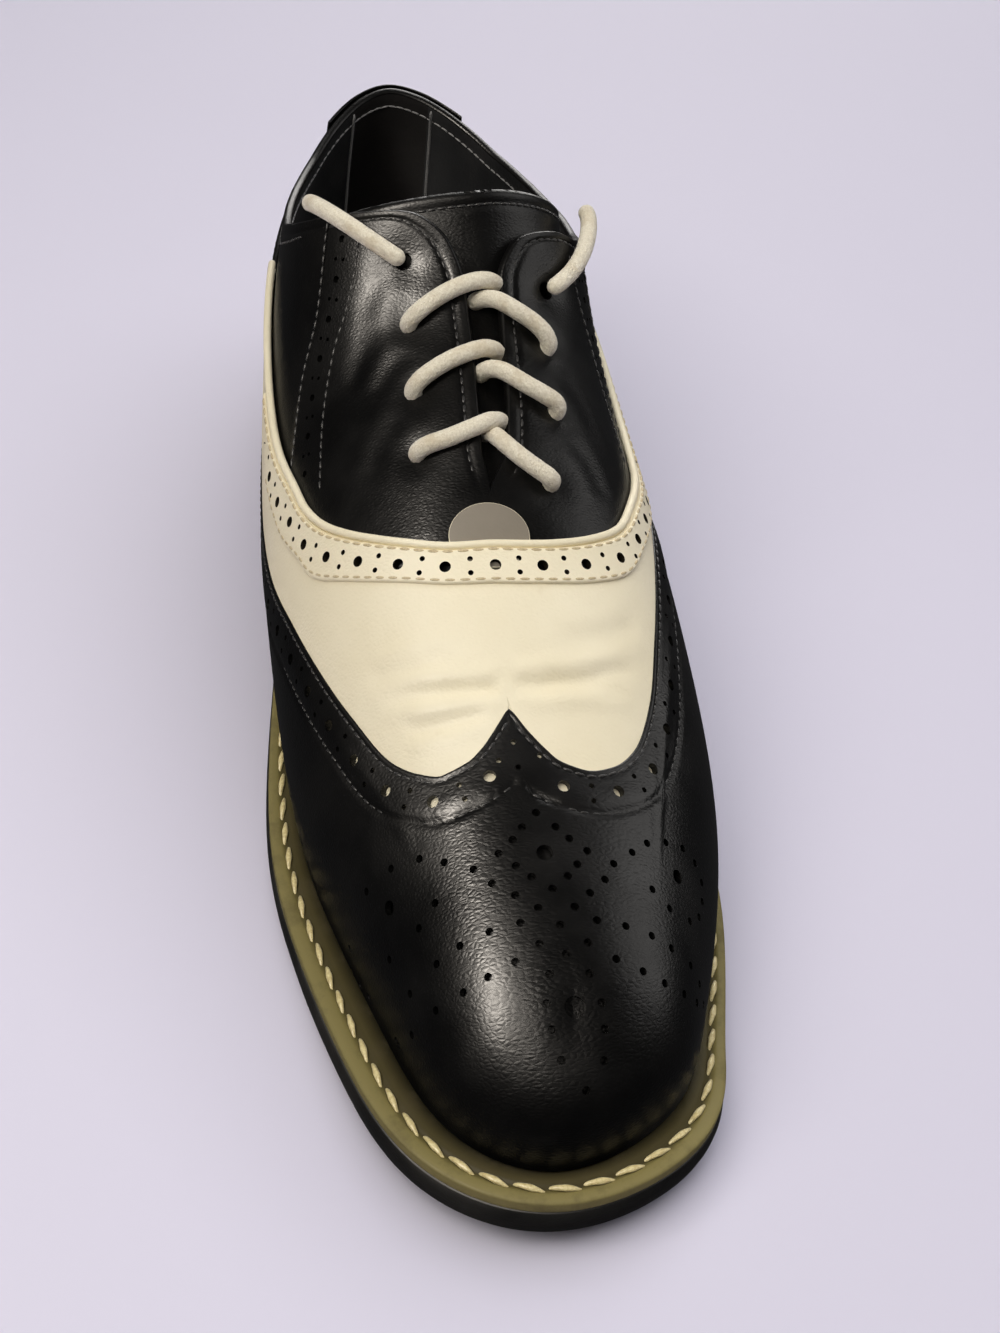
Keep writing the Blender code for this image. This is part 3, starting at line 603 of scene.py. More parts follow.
def cordShape(route, look):  # round cord whose crossing strands raise its surface, with rounded ends
    path, run = smoothRoute(route, look["step"])
    along = unit(np.gradient(path, axis=0))
    sides = [unit(np.cross(along[0], [0.31, 0.83, 0.46]))]
    for direction in along[1:]:  # carried along the path without twist
        sides.append(unit(sides[-1] - direction * np.dot(sides[-1], direction)))
    side = np.array(sides)
    other = np.cross(along, side)
    turn = np.linspace(0, 2 * np.pi, look["sides"], endpoint=False)
    wind = 2 * np.pi * run[:, None] / look["strandPitch"]
    half = look["strands"] / 2
    strands = np.maximum(np.abs(np.sin(half * turn + wind)), np.abs(np.sin(half * turn - wind)))
    ends = np.minimum(run, run[-1] - run)[:, None] / look["radius"]
    rounding = np.sqrt(np.clip(1 - (1 - np.clip(ends, 0.05, 1)) ** 2, 0, 1))
    radius = look["radius"] * (1 - look["relief"] * (1 - strands)) * rounding
    ring = np.cos(turn)[None, :, None] * side[:, None] + np.sin(turn)[None, :, None] * other[:, None]
    points = path[:, None] + ring * radius[..., None]
    return (points, rodFaces(1, len(path), len(turn))), path


for rowName in ("row1", "row2", "row3"):
    arms = [cordShape(onLast(*np.array(rows).T), laces)[0] for rows in laces[rowName]]
    addPiece("lace_" + rowName, joined(arms), laceCotton, ["lace_row_" + rowName[-1]])
for endName, node in (("lateralEnd", "lace_end_lateral"), ("medialEnd", "lace_end_medial")):
    shape, path = cordShape(onLast(*np.array(laces[endName]).T), laces)
    end = addPiece("lace_" + endName, shape, laceCotton, [node])
    length = runLength(path)[-1] * mm
print("laces laid")


# Sole: rings round the feather outline, each out from it and above it by some mm
def soleRing(place, out, height):  # the outline moved level outward and straight up
    ring = loopPoint(featherEdge, place) + outward(place) * np.broadcast_to(out, place.shape)[..., None]
    ring[..., 2] += height
    return ring


def ladder(ring):  # flat cover over a ring of vertex numbers, with rungs from side to side
    count = len(ring)
    first = np.arange(1, (count - 1) // 2)
    facing = count - first
    rungs = np.stack([ring[first], ring[first + 1], ring[facing - 1], ring[facing]], -1).tolist()
    start = [[ring[0], ring[1], ring[count - 1]]]
    middle = (count - 1) // 2
    rest = ring[middle:count - middle + 1]
    return start + rungs + ([rest.tolist()] if len(rest) > 2 else [])


def plateShape(rings):  # solid through rings from the bottom up
    rings = np.stack(rings)
    index = numbered(rings)
    after = np.roll(index, -1, 1)
    quads = np.stack([index[:-1], after[:-1], after[1:], index[1:]], -1).reshape(-1, 4).tolist()
    under = [face[::-1] for face in ladder(index[0])]
    return rings, quads + under + ladder(index[-1])


sole = {
    "thick": 7.7, "weltThick": 2.7, "gap": 0.3, "bulge": 0.5, "round": 1.2, "around": 432, "arc": 6,
    "climbs": (0.25, 0.5, 0.75, 0.95, 1.0), "swellTop": 0.95, "lip": 0.25,
}
places = np.arange(sole["around"]) * loopSize / sole["around"]
soleHeights = loopValue("z", places)
soleOut = loopValue("welt", places)
soleTop = -sole["weltThick"] - 2 * sole["gap"]
soleFull = sole["thick"] + sole["weltThick"] + 2 * sole["gap"]
treadHeight = np.maximum(soleHeights - soleFull, 0) - soleHeights
corner = np.linspace(0, np.pi / 2, sole["arc"])
cornerIn, cornerUp = 1 - np.sin(corner), 1 - np.cos(corner)  # quarter round, in shares of its radius
outsoleRings = [
    soleRing(places, soleOut - sole["round"] * inward, treadHeight + sole["round"] * rise)
    for inward, rise in zip(cornerIn, cornerUp)
]
edgeFoot = treadHeight + sole["round"]
for climb in sole["climbs"]:  # the edge swells a little between tread and welt, and steps in under the welt
    swell = sole["bulge"] * np.sin(np.pi * min(climb, sole["swellTop"])) - sole["lip"] * (climb == 1.0)
    outsoleRings.append(soleRing(places, soleOut + swell, edgeFoot + climb * (soleTop - edgeFoot)))
addPiece("outsole_edge", plateShape(outsoleRings), leathers["soleBlack"], ["outsole"])

heel = {
    "breast": 2.05, "taper": 2.0, "samples": 60, "footLevels": (0.0, 0.25, 0.7, 1.2),
    "seams": (6.0, 10.5, 15.0), "seamDeep": 0.22, "seamHalf": 0.3, "seamSteps": (-1.5, -1, 0, 1, 1.5),
}
back = np.linspace(0, heel["breast"], heel["samples"])
around = np.concatenate([back, loopSize - back[:0:-1]])
heelOut, heelSeat = loopValue("welt", around), loopValue("z", around)
seatTop = np.maximum(heelSeat - soleFull, 0) - sole["gap"]
heelLevels = [*heel["footLevels"]]
heelLevels += [seam + step * heel["seamHalf"] for seam in heel["seams"] for step in heel["seamSteps"]]
heelRings = []
for level in heelLevels:  # a rounded foot, and a slight groove where two lifts meet
    fromSeams = np.abs(level - np.array(heel["seams"])) / heel["seamHalf"]
    groove = heel["seamDeep"] * np.clip(1 - fromSeams, 0, 1).sum()
    foot = sole["round"] * (1 - roundedEdge(level, sole["round"]))
    out = heelOut - heel["taper"] + level / seatTop * (heel["taper"] - sole["round"]) - groove - foot
    heelRings.append(soleRing(around, out, level - heelSeat))
heelRings.append(soleRing(around, heelOut - sole["round"], seatTop - heelSeat))
addPiece("heel_block", plateShape(heelRings), leathers["soleBlack"], ["heel"])

# Welt: columns are share of its width, inset in mm and height over the feather edge in mm
weltProfile = np.array([
    (0, -2.8, -3.0), (0, -2.8, -0.6), (0, -0.6, -0.45), (0.06, 0, -0.2), (0.16, 0, 0.0), (0.36, 0, 0.05),
    (0.5, 0, -0.05), (0.56, 0, -0.3), (0.62, 0, -0.5), (0.68, 0, -0.3), (0.74, 0, 0.02), (0.82, 0, 0.12),
    (0.92, 0, 0.1), (0.975, 0, -0.05), (1.0, 0, -0.4), (1.0, 0, -2.2), (0.985, 0, -3.0),
])
weltScale = np.array((9.0, 1, 1))  # mm, so that the points come evenly over its width
profile = smoothRoute(weltProfile * weltScale, 0.28)[0] / weltScale
weltOut = profile[None, :, 0] * soleOut[:, None] + profile[None, :, 1]
weltGrid = soleRing(np.repeat(places[:, None], len(profile), 1), weltOut, profile[None, :, 2])
weltUv = np.stack(np.broadcast_arrays(places[:, None] / loopSize, np.clip(profile[None, :, 0], 0, 1)), -1)
weltFaces = gridQuads(numbered(weltGrid), closedRows=True, closedColumns=True)[:, ::-1].tolist()
welt = addPiece("welt_strip", (weltGrid, weltFaces), weltOlive, ["welt"], uv=weltUv)
welt.visible_glossy = False  # the black leather beside it stays black

weltThread = {
    "pitch": 7.1, "length": 7.2, "width": 1.35, "thick": 1.2, "across": 0.62, "height": 0.2, "slant": 0.5,
    "sink": 0.75, "ply": 0.07, "plyTurns": 7, "tip": 0.08,
}
line = soleRing(places, weltThread["across"] * soleOut, 0)
lineRun = runLength(np.concatenate([line, line[:1]]))
stitchCount = round(lineRun[-1] / weltThread["pitch"])
stitchRun = (np.arange(stitchCount) + 0.5) * lineRun[-1] / stitchCount
stitchPlace = np.interp(stitchRun, lineRun, np.append(places, loopSize))
placePerMm = np.gradient(stitchPlace)[:, None] / weltThread["pitch"]
spine = np.linspace(-1, 1, 13)
spinePlace = stitchPlace[:, None] + spine * weltThread["length"] / 2 * placePerMm
arch = 1 - np.abs(spine) ** 2.4
spineOut = weltThread["across"] * loopValue("welt", spinePlace) + weltThread["slant"] * spine
spineUp = (weltThread["sink"] + weltThread["height"]) * arch - weltThread["sink"]
spinePoints = soleRing(spinePlace, spineOut, spineUp)
turn = np.linspace(0, 2 * np.pi, 12, endpoint=False)
ply = 1 + weltThread["ply"] * np.cos(2 * turn + weltThread["plyTurns"] * spine[:, None])  # two wound plies
swell = np.clip(1 - np.abs(spine) ** 1.8, weltThread["tip"], 1)[:, None] ** 0.7 * ply
ringOut = outward(spinePlace)[:, :, None] * (weltThread["width"] / 2 * swell * np.cos(turn))[None, ..., None]
ringUp = np.array([0, 0, 1.0]) * (weltThread["thick"] / 2 * swell * np.sin(turn))[None, ..., None]
weltStitches = spinePoints[:, :, None] + ringOut + ringUp
stitchShape = (weltStitches, [face[::-1] for face in rodFaces(stitchCount, len(spine), len(turn))])
addPiece("welt_stitches", stitchShape, threads["gold"])

sock = {"inset": 3.3, "rise": 2.5, "round": 0.8, "under": -3.0}
sockRings = [soleRing(places, -sock["inset"], sock["under"])]
sockRings += [
    soleRing(places, -sock["inset"] - sock["round"] * inward, sock["rise"] - sock["round"] * fall)
    for inward, fall in zip(cornerUp, cornerIn)
]
addPiece("sock_lining", plateShape(sockRings), leathers["blackLining"], ["insole"])
print("sole made,", stitchCount, "welt stitches")

# Seams: stitches are short spindles with sunk ends, collected by thread
seams = {"black": [], "tan": [], "grey": []}
fineStitch = {"pitch": 2.5, "length": 2.1, "width": 0.62, "thick": 0.5, "height": 0.16, "sink": 0.12}


def stitchRow(thread, station, share, lift, look=fineStitch):  # spindles one pitch apart along the seam
    station, share = evenly(station, share, look["pitch"])
    middle, normal = onLast(station, share, lift), lastNormal(station, share)
    run = unit(np.gradient(middle, axis=0))
    side = np.cross(normal, run)
    spine = np.array([-1, -0.82, -0.4, 0.4, 0.82, 1])
    swell = np.array([0.35, 0.75, 1, 1, 0.75, 0.35])
    turn = np.linspace(0, 2 * np.pi, 6, endpoint=False)
    rise = look["height"] * (1 - spine**2) - look["sink"]
    along = (spine * look["length"] / 2)[:, None] * run[:, None]
    line = middle[:, None] + along + rise[:, None] * normal[:, None]
    wide = (look["width"] / 2 * swell[:, None] * np.cos(turn))[..., None] * side[:, None, None]
    tall = (look["thick"] / 2 * swell[:, None] * np.sin(turn))[..., None] * normal[:, None, None]
    seams[thread].append((line[:, :, None] + wide + tall, rodFaces(len(middle), len(spine), len(turn))))


def brogueRow(station, share, look, middle=None):  # a large hole, then two small ones side by side, and so on
    station, share = evenly(station, share, look["pitch"], middle)
    first = 0 if middle is None else (len(station) // 2 + 1) % 2  # two small holes stand at the middle
    bigPlace = station[first::2], share[first::2]
    pairs = [beside(station, share, side * look["apart"], 2) for side in (-1, 1)]
    stations = np.concatenate([bigPlace[0], pairs[0][0][1 - first::2], pairs[1][0][1 - first::2]])
    shares = np.concatenate([bigPlace[1], pairs[0][1][1 - first::2], pairs[1][1][1 - first::2]])
    radii = np.where(np.arange(len(stations)) < len(bigPlace[0]), look["big"], look["small"])
    return stations, shares, radii


# Creases and dents: each row of places is station and share, with depth and half width in mm
def nearestOn(points, path):  # mm from each point to a densely drawn path, and how far along it that is
    flat = points.reshape(-1, 3)
    best = np.full(len(flat), 1e9)
    part = np.zeros(len(flat))
    for number, spot in enumerate(path):
        away = np.linalg.norm(flat - spot, axis=1)
        part = np.where(away < best, number / (len(path) - 1), part)
        best = np.minimum(best, away)
    return best.reshape(points.shape[:-1]), part.reshape(points.shape[:-1])


creaseForm = {"step": 0.4, "fade": 7, "ridge": 0.55, "ridgeAt": 1.9}


def troughs(station, share, creases):  # soft creases: a trough along each line with a low ridge beside it
    spots = onLast(station, share)
    total = np.zeros(np.shape(station))
    for crease in creases:
        path = smoothRoute(onLast(*np.array(crease["line"]).T), creaseForm["step"])[0]
        away, part = nearestOn(spots, path)
        fade = np.clip(creaseForm["fade"] * part * (1 - part), 0, 1)
        near = away / crease["half"]
        ridge = creaseForm["ridge"] * bell(near - creaseForm["ridgeAt"], 1)
        total += crease["deep"] * fade * (ridge - bell(near, 1))
    return total


def dents(station, share, spots, deep, half):  # a bell-shaped pit round each spot
    flat = onLast(station, share)
    total = np.zeros(np.shape(station))
    for place in spots:
        total -= deep * bell(np.linalg.norm(flat - onLast(*place), axis=-1), half)
    return total


def panelTop(look, distance):  # lift of a panel's top, thinner at the edge and full beyond its rounding
    full = look["edge"] + (1 - look["edge"]) * roundedEdge(distance, look["round"])
    return look["lift"] + look["thick"] * full


def edgeReach(table, share):  # mm square to a panel's edge for one station
    station = edgeCurve(table, np.abs(share), share)
    run = unit(np.gradient(onLast(station, share), axis=0))
    ahead = slopes(station, share)[0]
    return np.linalg.norm(ahead - (ahead * run).sum(-1, keepdims=True) * run, axis=-1)


def bothSides(half):  # mirrored to the lateral side, with the middle once
    return np.concatenate([-half[:0:-1], half])


# Upper: outside, rolled top edge, lining and bottom edge as one closed profile carried round the shoe
eyelets = (
    (4.23, -0.176), (3.79, -0.166), (3.31, -0.172), (2.99, -0.176),
    (4.5, 0.134), (4.01, 0.174), (3.54, 0.19), (3.15, 0.22),
)
plainCord = {"strands": 2, "strandPitch": 50.0, "relief": 0.0}
upper = {
    "stations": 300, "outside": 110, "rim": 9, "inside": 36, "eyelet": 2.1, "dentDeep": 0.9, "dentHalf": 5.0,
    "stay": (
        (2.45, 0.35, 0.43), (2.68, 0.384, 0.445), (2.9, 0.42, 0.46), (3.09, 0.484, 0.49), (3.29, 0.522, 0.52),
        (3.6, 0.57, 0.55), (4.3, 0.62, 0.58),
    ),
    "stayInner": (
        (2.78, 0.28, 0.33), (3.0, 0.318, 0.36), (3.16, 0.368, 0.395), (3.475, 0.416, 0.43),
        (3.76, 0.438, 0.45), (3.95, 0.45, 0.46),
    ),
    "stayThick": 0.45, "stayBlend": 1.1, "stayFrom": (2.5, 2.95), "stayUntil": 5.0,
    "stayRows": {-1: (2.6, 2.78), 1: (2.66, 2.84)}, "outerEnd": 3.55, "innerEnd": 3.9,
    "edgeSeam": {"deep": 0.35, "in": 2.6, "half": 0.7}, "rimReach": 0.8,
    "facingSeam": 0.028, "facingRuns": ((2.62, 3.0, 30), (3.02, 4.6, 50)), "facingLift": 0.1,
    "toplineSeam": 0.03, "liningTopSeam": 0.022, "toplineRun": (0.0, 2.5, 90),
    "threadSeat": 0.05, "beadSeat": 0.2, "brogueCut": (-1.2, 3.0), "eyeletCut": (-3.5, 3.0),
    "liningSeams": 0.39, "liningRidge": 0.35, "liningRidgeHalf": 0.02, "liningSeamRun": (0.606, 0.95),
    "liningBead": {**plainCord, "radius": 0.45, "sides": 8, "step": 1.0},
    "brogue": {"pitch": 4.6, "big": 0.85, "small": 0.45, "apart": 1.1},
    "creases": (
        {"line": ((3.2, -0.23), (3.32, -0.29), (3.5, -0.33)), "deep": 0.25, "half": 2.6},
        {"line": ((3.5, -0.17), (3.56, -0.23), (3.66, -0.27)), "deep": 0.25, "half": 2.4},
        {"line": ((3.9, -0.19), (4.02, -0.26), (4.2, -0.31)), "deep": 0.22, "half": 2.8},
        {"line": ((2.95, -0.22), (3.1, -0.27), (3.25, -0.3)), "deep": 0.2, "half": 2.4},
        {"line": ((3.7, 0.21), (3.85, 0.27), (4.05, 0.3)), "deep": 0.22, "half": 2.4},
        {"line": ((4.15, 0.19), (4.25, 0.25), (4.4, 0.28)), "deep": 0.22, "half": 2.4},
    ),
}
loopPlace = np.arange(2 * upper["stations"]) * loopSize / (2 * upper["stations"])
upperStation = np.where(loopPlace <= last["toe"], loopPlace, loopSize - loopPlace)[:, None]
upperSide = np.where(loopPlace <= last["toe"], -1.0, 1.0)[:, None]
openShare = edgeCurve(collarEdge, np.minimum(upperStation, last["slitEnd"]), upperSide)
mmPerShare = np.linalg.norm(slopes(upperStation, upperSide * np.maximum(openShare, 0.02))[1], axis=-1)
openness = softStep(last["slitEnd"] - upperStation, 0.0, 0.35)

climb = 1 - (1 - np.linspace(0, 1, upper["outside"])) ** 1.25
outShare = 1 - climb * (1 - openShare)
outStation = np.broadcast_to(upperStation, outShare.shape)
signedShare = upperSide * outShare
stayAway = (edgeCurve(upper["stay"], outStation, upperSide) - outShare) * mmPerShare
stayStep = softStep(stayAway, -upper["stayBlend"], upper["stayBlend"])
stayStep = stayStep * softStep(outStation, *upper["stayFrom"])
outLift = upper["stayThick"] * stayStep * softStep(upper["stayUntil"] - outStation, 0.0, 0.3)
outLift = outLift + troughs(outStation, signedShare, upper["creases"])
outLift = outLift + dents(outStation, signedShare, eyelets, upper["dentDeep"], upper["dentHalf"])
edgeMm = (outShare - openShare) * mmPerShare
edgeSeam = upper["edgeSeam"]
threadPull = edgeSeam["deep"] * bell(edgeMm - edgeSeam["in"], edgeSeam["half"]) * openness
outLift = outLift - threadPull

angles = np.linspace(0, np.pi, upper["rim"] + 2)[1:-1]
rimLift = -last["wall"] / 2 + (last["wall"] / 2 + outLift[:, -1:] * (angles < np.pi / 2)) * np.cos(angles)
rimShare = openShare - upper["rimReach"] * openness * np.sin(angles) / mmPerShare
inShare = openShare + np.linspace(0, 1, upper["inside"]) * (1 - openShare)
seamLift = upper["liningRidge"] * bell(upperStation - upper["liningSeams"], upper["liningRidgeHalf"])
inLift = np.full(inShare.shape, -last["wall"]) - seamLift * softStep(inShare - openShare, 0.0, 0.02)
profileShare = upperSide * np.concatenate([outShare, rimShare, inShare], 1)
profileLift = np.concatenate([outLift, rimLift, inLift], 1)
upperGrid = onLast(np.broadcast_to(upperStation, profileShare.shape), profileShare, profileLift)
upperFaces = gridQuads(numbered(upperGrid), closedRows=True, closedColumns=True)
upperShape = (upperGrid, upperFaces.tolist())
quarters = addPiece("quarters", upperShape, leathers["blackCalf"], ["upper"])
for lining in ("blackLining", "heelLining"):
    quarters.data.materials.append(leathers[lining])
firstInside = upper["outside"] + upper["rim"]
atHeel = 1 + (upperStation < upper["liningSeams"])
slotOfFace = np.where(np.arange(profileShare.shape[1]) >= firstInside, atHeel, 0).astype(np.int32)
quarters.data.polygons.foreach_set("material_index", slotOfFace.ravel())

# Two rows of stitches behind the eyelets with a brogue row between them, and seams along the edges
for side, column in ((-1, 1), (1, 2)):
    outerTop, innerTop = upper["stayRows"][side]
    outerRun = np.linspace(outerTop, upper["outerEnd"], 60)
    innerRun = np.linspace(innerTop, upper["innerEnd"], 60)
    outerShare = side * (tableCurve(upper["stay"], column, outerRun) - 0.01)
    innerShare = side * tableCurve(upper["stayInner"], column, innerRun)
    stitchRow("black", outerRun, outerShare, upper["stayThick"])
    stitchRow("black", innerRun, innerShare, upper["stayThick"])
    holeRun, holeShare = (outerRun + innerRun) / 2, (outerShare + innerShare) / 2
    punch(quarters, *brogueRow(holeRun, holeShare, upper["brogue"]), *upper["brogueCut"])
    facing = np.concatenate([np.linspace(*run) for run in upper["facingRuns"]])
    facingShare = side * (tableCurve(collarEdge, column, facing) + upper["facingSeam"])
    stitchRow("black", facing, facingShare, upper["facingLift"])
    topline = np.linspace(*upper["toplineRun"])
    collar = tableCurve(collarEdge, column, topline)
    stitchRow("black", topline, side * (collar + upper["toplineSeam"]), 0.0)
    stitchRow("grey", topline, side * (collar + upper["liningTopSeam"]), -last["wall"] - upper["threadSeat"])
seamRuns = []
for side in (-1, 1):
    seamShare = side * np.linspace(*upper["liningSeamRun"], 24)
    seamRoute = onLast(upper["liningSeams"], seamShare, -last["wall"] - upper["beadSeat"])
    seamRuns.append(cordShape(seamRoute, upper["liningBead"])[0])
addPiece("lining_seams", joined(seamRuns), threads["grey"])
eyeletPlace = np.array(eyelets)
punch(quarters, eyeletPlace[:, 0], eyeletPlace[:, 1], upper["eyelet"], *upper["eyeletCut"])
print("quarters made")

# Tongue: a sheet under the facings with an arched, stitched top edge
tongue = {
    "half": ((2.3, 0.42, 0.47), (2.75, 0.41, 0.45), (3.2, 0.34, 0.35), (3.7, 0.29, 0.29), (5.2, 0.29, 0.29)),
    "top": 2.8, "topFall": 1.85, "bottom": 5.15, "lift": -3.8, "thick": 2.0, "round": 1.0,
    "seamIn": 2.2, "seamHalf": 0.6, "seamDeep": 0.3, "mmPerStation": 40, "mmHalfWide": 30,
}
tonguePart = np.linspace(-1, 1, 101)
tongueRun = np.concatenate([np.linspace(0, 0.05, 14)[:-1], np.linspace(0.05, 1, 80)])[:, None]
tongueCentre = tongue["top"] + tongueRun * (tongue["bottom"] - tongue["top"])
tongueShares = tonguePart * edgeCurve(tongue["half"], tongueCentre, tonguePart)
tongueStation = tongueCentre - tongue["topFall"] * tongueShares**2 * (1 - tongueRun)
fromTop = (tongueStation - tongueStation[:1]) * tongue["mmPerStation"]
fromSide = (1 - np.abs(tonguePart)) * tongue["mmHalfWide"]
border = roundedEdge(np.minimum(fromTop, fromSide[None, :]), tongue["round"])
seamPull = tongue["seamDeep"] * bell(fromTop - tongue["seamIn"], tongue["seamHalf"])
thinner = tongue["thick"] * 0.5 * (1 - border)
topLift = tongue["lift"] - thinner - seamPull
lowLift = tongue["lift"] - tongue["thick"] + thinner
tongueShape = closedSheet(*(onLast(tongueStation, tongueShares, lift) for lift in (topLift, lowLift)))
addPiece("tongue_sheet", tongueShape, leathers["blackCalf"], ["tongue"])
tongueSeam = tongueStation[0] + tongue["seamIn"] / tongue["mmPerStation"]
stitchRow("black", tongueSeam, tongueShares[0], tongue["lift"] - 0.1)

# Wing cap: from its W edge to the toe, sewn down the middle of the toe
wing = {
    "lift": 0.7, "thick": 1.4, "edge": 0.72, "round": 0.55, "columns": 140, "rows": 118,
    "edgeRows": (0.0, 0.08, 0.2, 0.38, 0.6, 0.9, 1.3, 1.8, 2.4, 3.2),
    "seamIn": 1.4, "seamDeep": 0.22, "seamHalf": 0.45, "seat": 0.08, "brogue": 5.4, "secondSeam": 9.8,
    "groove": 0.4, "grooveHalf": 0.7, "pad": 0.35, "padIn": 6.2, "padHalf": 2.6, "padFrom": (0.02, 0.1),
    "pitch": 6.0, "big": 1.3, "small": 0.6, "apart": 1.7, "holesFrom": 0.055,
    "peakHoles": ((6.295, -0.006), (6.465, -0.008), (6.365, -0.056), (6.32, 0.046)), "cut": (0.1, 4.0),
}
# Toe ornament: mm along from the heel and mm from the toe's axis, with a radius where it isn't a pin hole;
# all but the axis is on both sides
medallion = {
    "pin": 0.85,
    "axis": ((242.8, 0), (251.3, 0, 1.7), (258.8, 0), (266, 0), (271.3, 0), (280, 0, 2.1), (292.3, 0)),
    "half": (
        (245.6, 3.2), (247.9, 5.4), (250.1, 8.4), (253.3, 5.8), (256, 3.4), (251.8, 13.2),
        (248, 17.8), (244.6, 21.7), (242.1, 26.4), (240.7, 30.6), (241.4, 33.4), (243.9, 34.5),
        (248, 33.6), (252.4, 31.6), (255.8, 28.4), (248.2, 27.5, 1.55), (254.5, 20.4),
        (256.7, 23.5), (255.7, 10.6), (259.1, 7), (262.3, 3.4), (264.6, 7.1), (269.1, 4.5),
        (274.5, 3.8), (264.7, 12.6), (264.9, 17.7), (265.3, 21.7), (265.3, 26.1), (266.3, 28.2),
        (267.7, 29.3), (270.7, 26.4), (272.4, 22.8), (273.1, 18.4), (272.6, 14.2), (271.5, 9.3),
        (279.2, 5.2), (283.3, 5), (288, 4),
    ),
    "axisLine": ((240, 292), (-2.6, 0.6)), "medialLean": 0.1,
    "firstStation": ((218, 248, 270, 281, 300), (6, 7, 8, 8.6, 8.9)), "firstShare": 60, "steps": 12,
}


def toeHoles():  # rows of along, across and radius
    for along, _, *radius in medallion["axis"]:
        yield along, 0, *(radius or [medallion["pin"]])
    for along, away, *radius in medallion["half"]:
        for across in (-away, away):
            lean = medallion["medialLean"] * max(across, 0)
            yield along + lean, across, *(radius or [medallion["pin"]])


def plannedHoles(rows):  # plan places dropped onto the last: solve station and share for along and across
    along, across, radius = np.array(rows).T
    targetX, targetY = np.interp(along, *medallion["axisLine"]) + across, last["heelY"] - along
    station = np.interp(along + 0.15 * np.abs(across), *medallion["firstStation"])
    share = np.clip(np.abs(across) / medallion["firstShare"], 0.02, 0.6)
    share = share * np.where(across == 0, 0.02, np.sign(across))
    for _ in range(medallion["steps"]):
        ahead, up = slopes(station, share)
        spot = lastPoint(station, share)
        missX, missY = targetX - spot[:, 0], targetY - spot[:, 1]
        area = ahead[:, 0] * up[:, 1] - ahead[:, 1] * up[:, 0]
        station = station + np.clip((missX * up[:, 1] - missY * up[:, 0]) / area, -0.3, 0.3)
        share = share + np.clip((ahead[:, 0] * missY - ahead[:, 1] * missX) / area, -0.1, 0.1)
        station = np.clip(station, 5, last["toe"] - 0.01)
    return station, share, radius


def lineDistance(points, line):  # mm from each point to the nearest point of a densely drawn line
    flat = points.reshape(-1, 3)
    away = [np.linalg.norm(part[:, None] - line, axis=-1).min(1) for part in np.array_split(flat, 40)]
    return np.concatenate(away).reshape(points.shape[:-1])


# Seam and hole lines of each half up to the middle, less what lies nearer to the other half's edge
def wingSeams():
    line = np.concatenate([np.linspace(0, 0.4, 400), np.linspace(0.4, 0.83, 160)[1:]])[::-1]
    wholeEdge = bothSides(np.linspace(0, 0.84, 600))
    wholeEdge = onLast(wingStation(wholeEdge), wholeEdge)
    for side in (-1, 1):
        edge = side * np.maximum(line, 1e-4)
        rows = {}
        for name in ("seamIn", "brogue", "secondSeam"):
            station, share = beside(wingStation(edge), edge, side * wing[name])
            clear = lineDistance(onLast(station, share), wholeEdge) > wing[name] - 0.15
            kept = clear & (share * side > 0.004)
            rows[name] = station[kept], share[kept]
        yield rows


wingFlank = np.linspace(0.4, last["lowShare"], wing["columns"] - 59)[1:]
wingShare = bothSides(np.concatenate([np.linspace(0, 0.4, 60), wingFlank]))
wingStart = wingStation(wingShare)
wingReach = edgeReach(wingEdge, wingShare)
edgeOffsets = np.array(wing["edgeRows"])[:, None] / wingReach
innerStart = wingStart + edgeOffsets[-1]
wingRun = np.linspace(0, 1, wing["rows"])[1:, None]
wingStations = np.concatenate([wingStart + edgeOffsets, innerStart + wingRun * (last["toe"] - innerStart)])
wingShares = np.broadcast_to(wingShare, wingStations.shape)
wingAway = (wingStations - wingStart) * wingReach
wingTop = panelTop(wing, wingAway) - wing["seamDeep"] * bell(wingAway - wing["seamIn"], wing["seamHalf"])
wingPad = bell(wingAway - wing["padIn"], wing["padHalf"]) * softStep(np.abs(wingShares), *wing["padFrom"])
wingTop = wingTop + wing["pad"] * wingPad
wingRows = list(wingSeams())
secondSeam = np.concatenate([onLast(*evenly(*rows["secondSeam"], 0.4)) for rows in wingRows])
seamAway = lineDistance(onLast(wingStations, wingShares), secondSeam)
wingTop = wingTop - wing["groove"] * bell(seamAway, wing["grooveHalf"])
wingSkins = [onLast(wingStations, wingShares, lift) for lift in (wingTop, wing["lift"])]
wingShape = closedSheet(*wingSkins, sewnToe=True)
wingCap = addPiece("wing_cap_leather", wingShape, leathers["toeCalf"], ["wing_cap"])

for rows in wingRows:
    stitchRow("black", *rows["seamIn"], wing["lift"] + wing["thick"] - wing["seat"])
    stitchRow("black", *rows["secondSeam"], wing["lift"] + wing["thick"] - wing["groove"])
    station, share = rows["brogue"]
    beyond = np.abs(share) > wing["holesFrom"]
    punch(wingCap, *brogueRow(station[beyond][::-1], share[beyond][::-1], wing), *wing["cut"])
punch(wingCap, *plannedHoles(list(toeHoles())), *wing["cut"])
punch(wingCap, *np.array(wing["peakHoles"]).T, wing["small"], *wing["cut"])
print("wing cap made")

